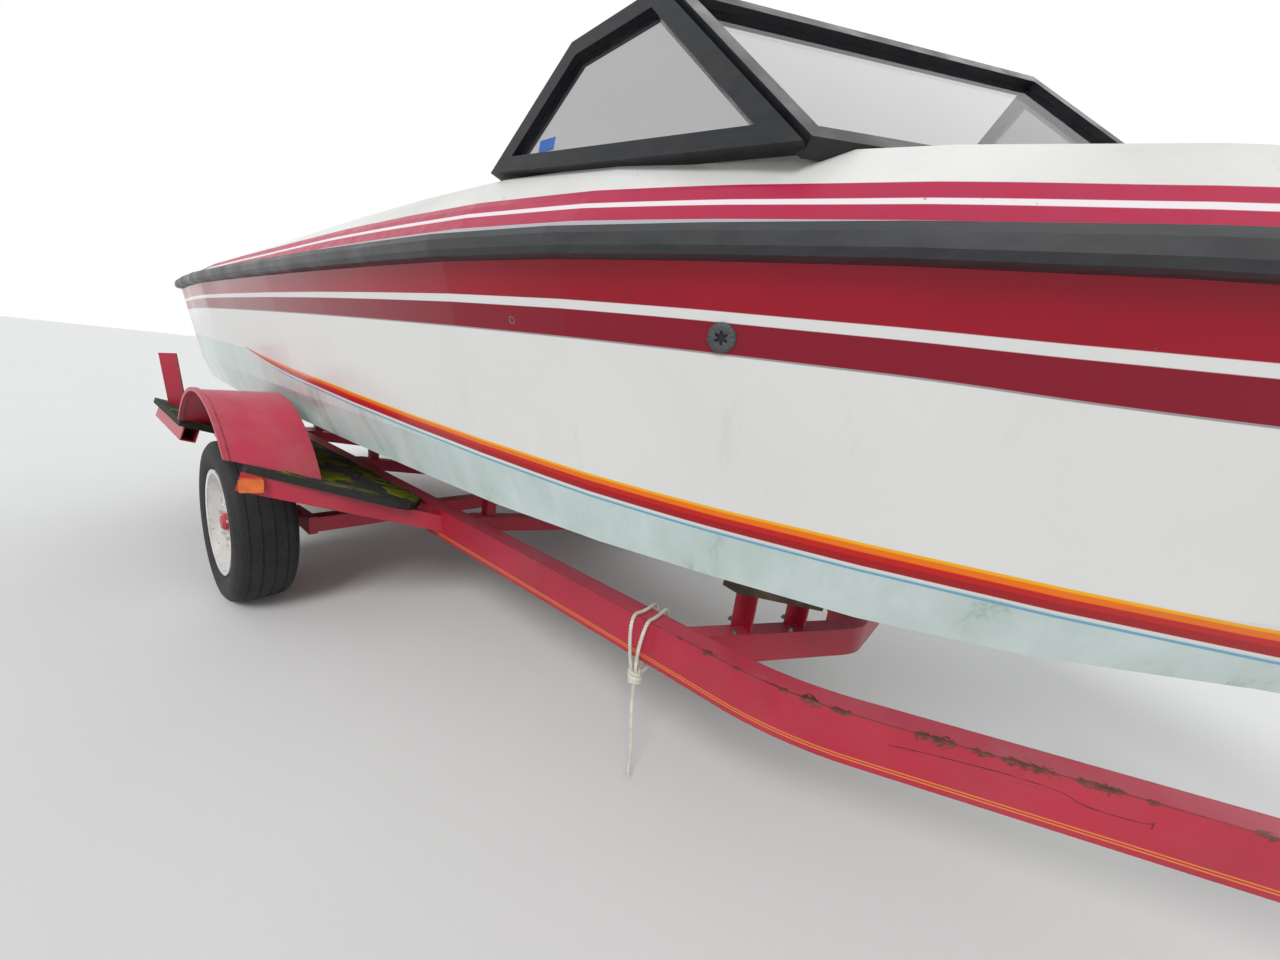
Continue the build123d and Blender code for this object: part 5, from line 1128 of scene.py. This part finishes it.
def ribbed_fitting():
    """Grey ribbed drain outlet on the starboard topside, with a star-shaped hole darkened by a black disc of painted
    shade.
    """
    spot, normal = skin_of("hull").find_nearest(DRAIN_NEAR)[:2]
    if normal.y > 0:
        normal = -normal
    turn = normal.to_track_quat("Z", "X").to_matrix().to_4x4()
    turn.translation = spot
    bm = bmesh.new()
    rows = []
    for k in range(DRAIN_STEPS):
        t = 2 * math.pi * k / DRAIN_STEPS
        star = 0.0085 + 0.0026 * math.cos(6 * t)
        rib = 0.0009 * (1 if (k // 3) % 2 else 0)
        row = [(0.0225, -0.001), (0.0225, 0.0022), (0.0212, 0.0040 + rib), (0.0160, 0.0052 + rib),
               (0.0130, 0.0050), (star + 0.0014, 0.0050), (star, 0.0042), (star * 0.96, -0.004)]
        rows.append([bm.verts.new((r * math.cos(t), r * math.sin(t), z)) for r, z in row])
    for a, b in zip(rows, rows[1:] + rows[:1]):
        for j in range(len(a) - 1):
            bm.faces.new((a[j], a[j + 1], b[j + 1], b[j]))
    bm.transform(turn)
    add_mesh("drain_outlet", bm, "fitting")
    # Painted shade: a black disc fills the hole where its inside would lie in shadow
    hole_shade = bmesh.new()
    inside = turn @ Matrix.Translation((0, 0, 0.0006))
    bmesh.ops.create_circle(hole_shade, cap_ends=True, segments=48, radius=HOLE_SHADE_R, matrix=inside)
    add_mesh("drain_bore", hole_shade, "black_rubber")


def hex_bolts(name, places, radius):
    """Hexagon heads on washers, upright."""
    bm = bmesh.new()
    for x, y, z in places:
        for r, depth, sides in ((radius * 1.45, 0.002, 24), (radius, 0.008, 6)):
            bmesh.ops.create_cone(bm, cap_ends=True, segments=sides, radius1=r, radius2=r * 0.94, depth=depth,
                                  matrix=Matrix.Translation((x, y, z + depth / 2)))
    add_mesh(name, bm, "zinc", smooth=False)


STICKER_NEAR = Vector((AXLE_X + 1.406, -0.868, 1.471))
STICKER_SIZE = (0.042, 0.025, 0.0004)


def blue_sticker():
    """Plain blue sticker in the lower aft corner of the starboard wing pane."""
    spot, normal = skin_of("screen_panes").find_nearest(STICKER_NEAR)[:2]
    if normal.y > 0:
        normal = -normal
    along = (Vector((1, 0, 0.06)) - normal * normal.x).normalized()
    bm = bmesh.new()
    bmesh.ops.create_cube(bm, size=1.0, matrix=Matrix.Diagonal((*STICKER_SIZE, 1)))
    axes = Matrix((along, normal.cross(along), normal)).transposed().to_4x4()
    axes.translation = spot + normal * STICKER_SIZE[2]
    bm.transform(axes)
    add_mesh("blue_sticker", bm, "sticker", smooth=False)


WINCH_POST = (AXLE_X + 3.790, 0.0, 0.4605)     # middle of its foot plate's top
HOOP_POSTS = ((AXLE_X + 1.785, -0.444), (AXLE_X + 1.877, -0.308))
HOOP_TOP = 0.4552


def fit_small_parts():
    """Bolts, moss, the drain outlet and the sticker, which the solids leave out."""
    post_x, post_y, post_z = WINCH_POST
    corners = [(x, y) for x in (-0.066, 0.066) for y in (-0.026, 0.026)]
    hex_bolts("winch_post_bolts", [(post_x + x, post_y + y, post_z) for x, y in corners], 0.009)
    sides = [(x + 0.020 * s, y - 0.026 * s) for x, y in HOOP_POSTS for s in (-1, 1)]
    hex_bolts("post_bolts", [(x, y, HOOP_TOP) for x, y in sides], 0.006)
    ribbed_fitting()
    moss()
    blue_sticker()


# Stage and light

FLOOR_HALF = 30.0
WORLD_LIGHT = 0.62
# Name, strength, apparent size and turn in degrees
SUNS = (("key", 1.5, 25.0, (48, 0, 28)), ("fill", 0.45, 60.0, (55, 0, 200)))


def lay_floor():
    """Pale floor that runs to a pale surround."""
    grid = bmesh.new()
    bmesh.ops.create_grid(grid, x_segments=1, y_segments=1, size=FLOOR_HALF)
    mesh = bpy.data.meshes.new("floor")
    grid.to_mesh(mesh)
    grid.free()
    floor = bpy.data.objects.new("floor", mesh)
    bpy.context.scene.collection.objects.link(floor)
    shade = Shade("floor")
    shade.colour(shade.mix(shade.noise(1.5, 5.0), rgb(226, 226, 224), rgb(232, 232, 230))).rough(0.85)
    mesh.materials.append(shade.material)
    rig.stage(floor)


def set_light():
    """Soft light from all round and above, with a white background for camera, metal and glass."""
    world = bpy.data.worlds.new("studio")
    bpy.context.scene.world = world
    world.use_nodes = True
    tree = world.node_tree
    lit = tree.nodes["Background"]
    lit.inputs[0].default_value = (0.93, 0.96, 1.0, 1.0)
    lit.inputs[1].default_value = WORLD_LIGHT
    seen = tree.nodes.new("ShaderNodeBackground")
    seen.inputs[0].default_value = (1.0, 1.0, 1.0, 1.0)
    seen.inputs[1].default_value = 1.0
    path = tree.nodes.new("ShaderNodeLightPath")
    choice = tree.nodes.new("ShaderNodeMixShader")
    shown_to = path.outputs["Is Camera Ray"]
    for other in ("Is Glossy Ray", "Is Transmission Ray"):
        either = tree.nodes.new("ShaderNodeMath")
        either.operation = "ADD"
        either.use_clamp = True
        tree.links.new(shown_to, either.inputs[0])
        tree.links.new(path.outputs[other], either.inputs[1])
        shown_to = either.outputs[0]
    tree.links.new(shown_to, choice.inputs[0])
    tree.links.new(lit.outputs[0], choice.inputs[1])
    tree.links.new(seen.outputs[0], choice.inputs[2])
    tree.links.new(choice.outputs[0], tree.nodes["World Output"].inputs[0])
    for name, strength, angle, turn in SUNS:
        data = bpy.data.lights.new(name, "SUN")
        data.energy = strength
        data.angle = math.radians(angle)
        lamp = bpy.data.objects.new(name, data)
        lamp.rotation_euler = [math.radians(a) for a in turn]
        bpy.context.scene.collection.objects.link(lamp)
    bpy.context.scene.view_settings.view_transform = "Standard"


set_camera()
lay_ropes()
lay_floor()
set_light()
dress_lounge_seats()
dress_bench()
dress_sun_pad()
dress_wheels()
fit_small_parts()

with open("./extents.json", "w") as out:
    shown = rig.bounds()
    json.dump({"cad": [list(cad_box[0]), list(cad_box[1])], "visual": [list(shown[0]), list(shown[1])]}, out)
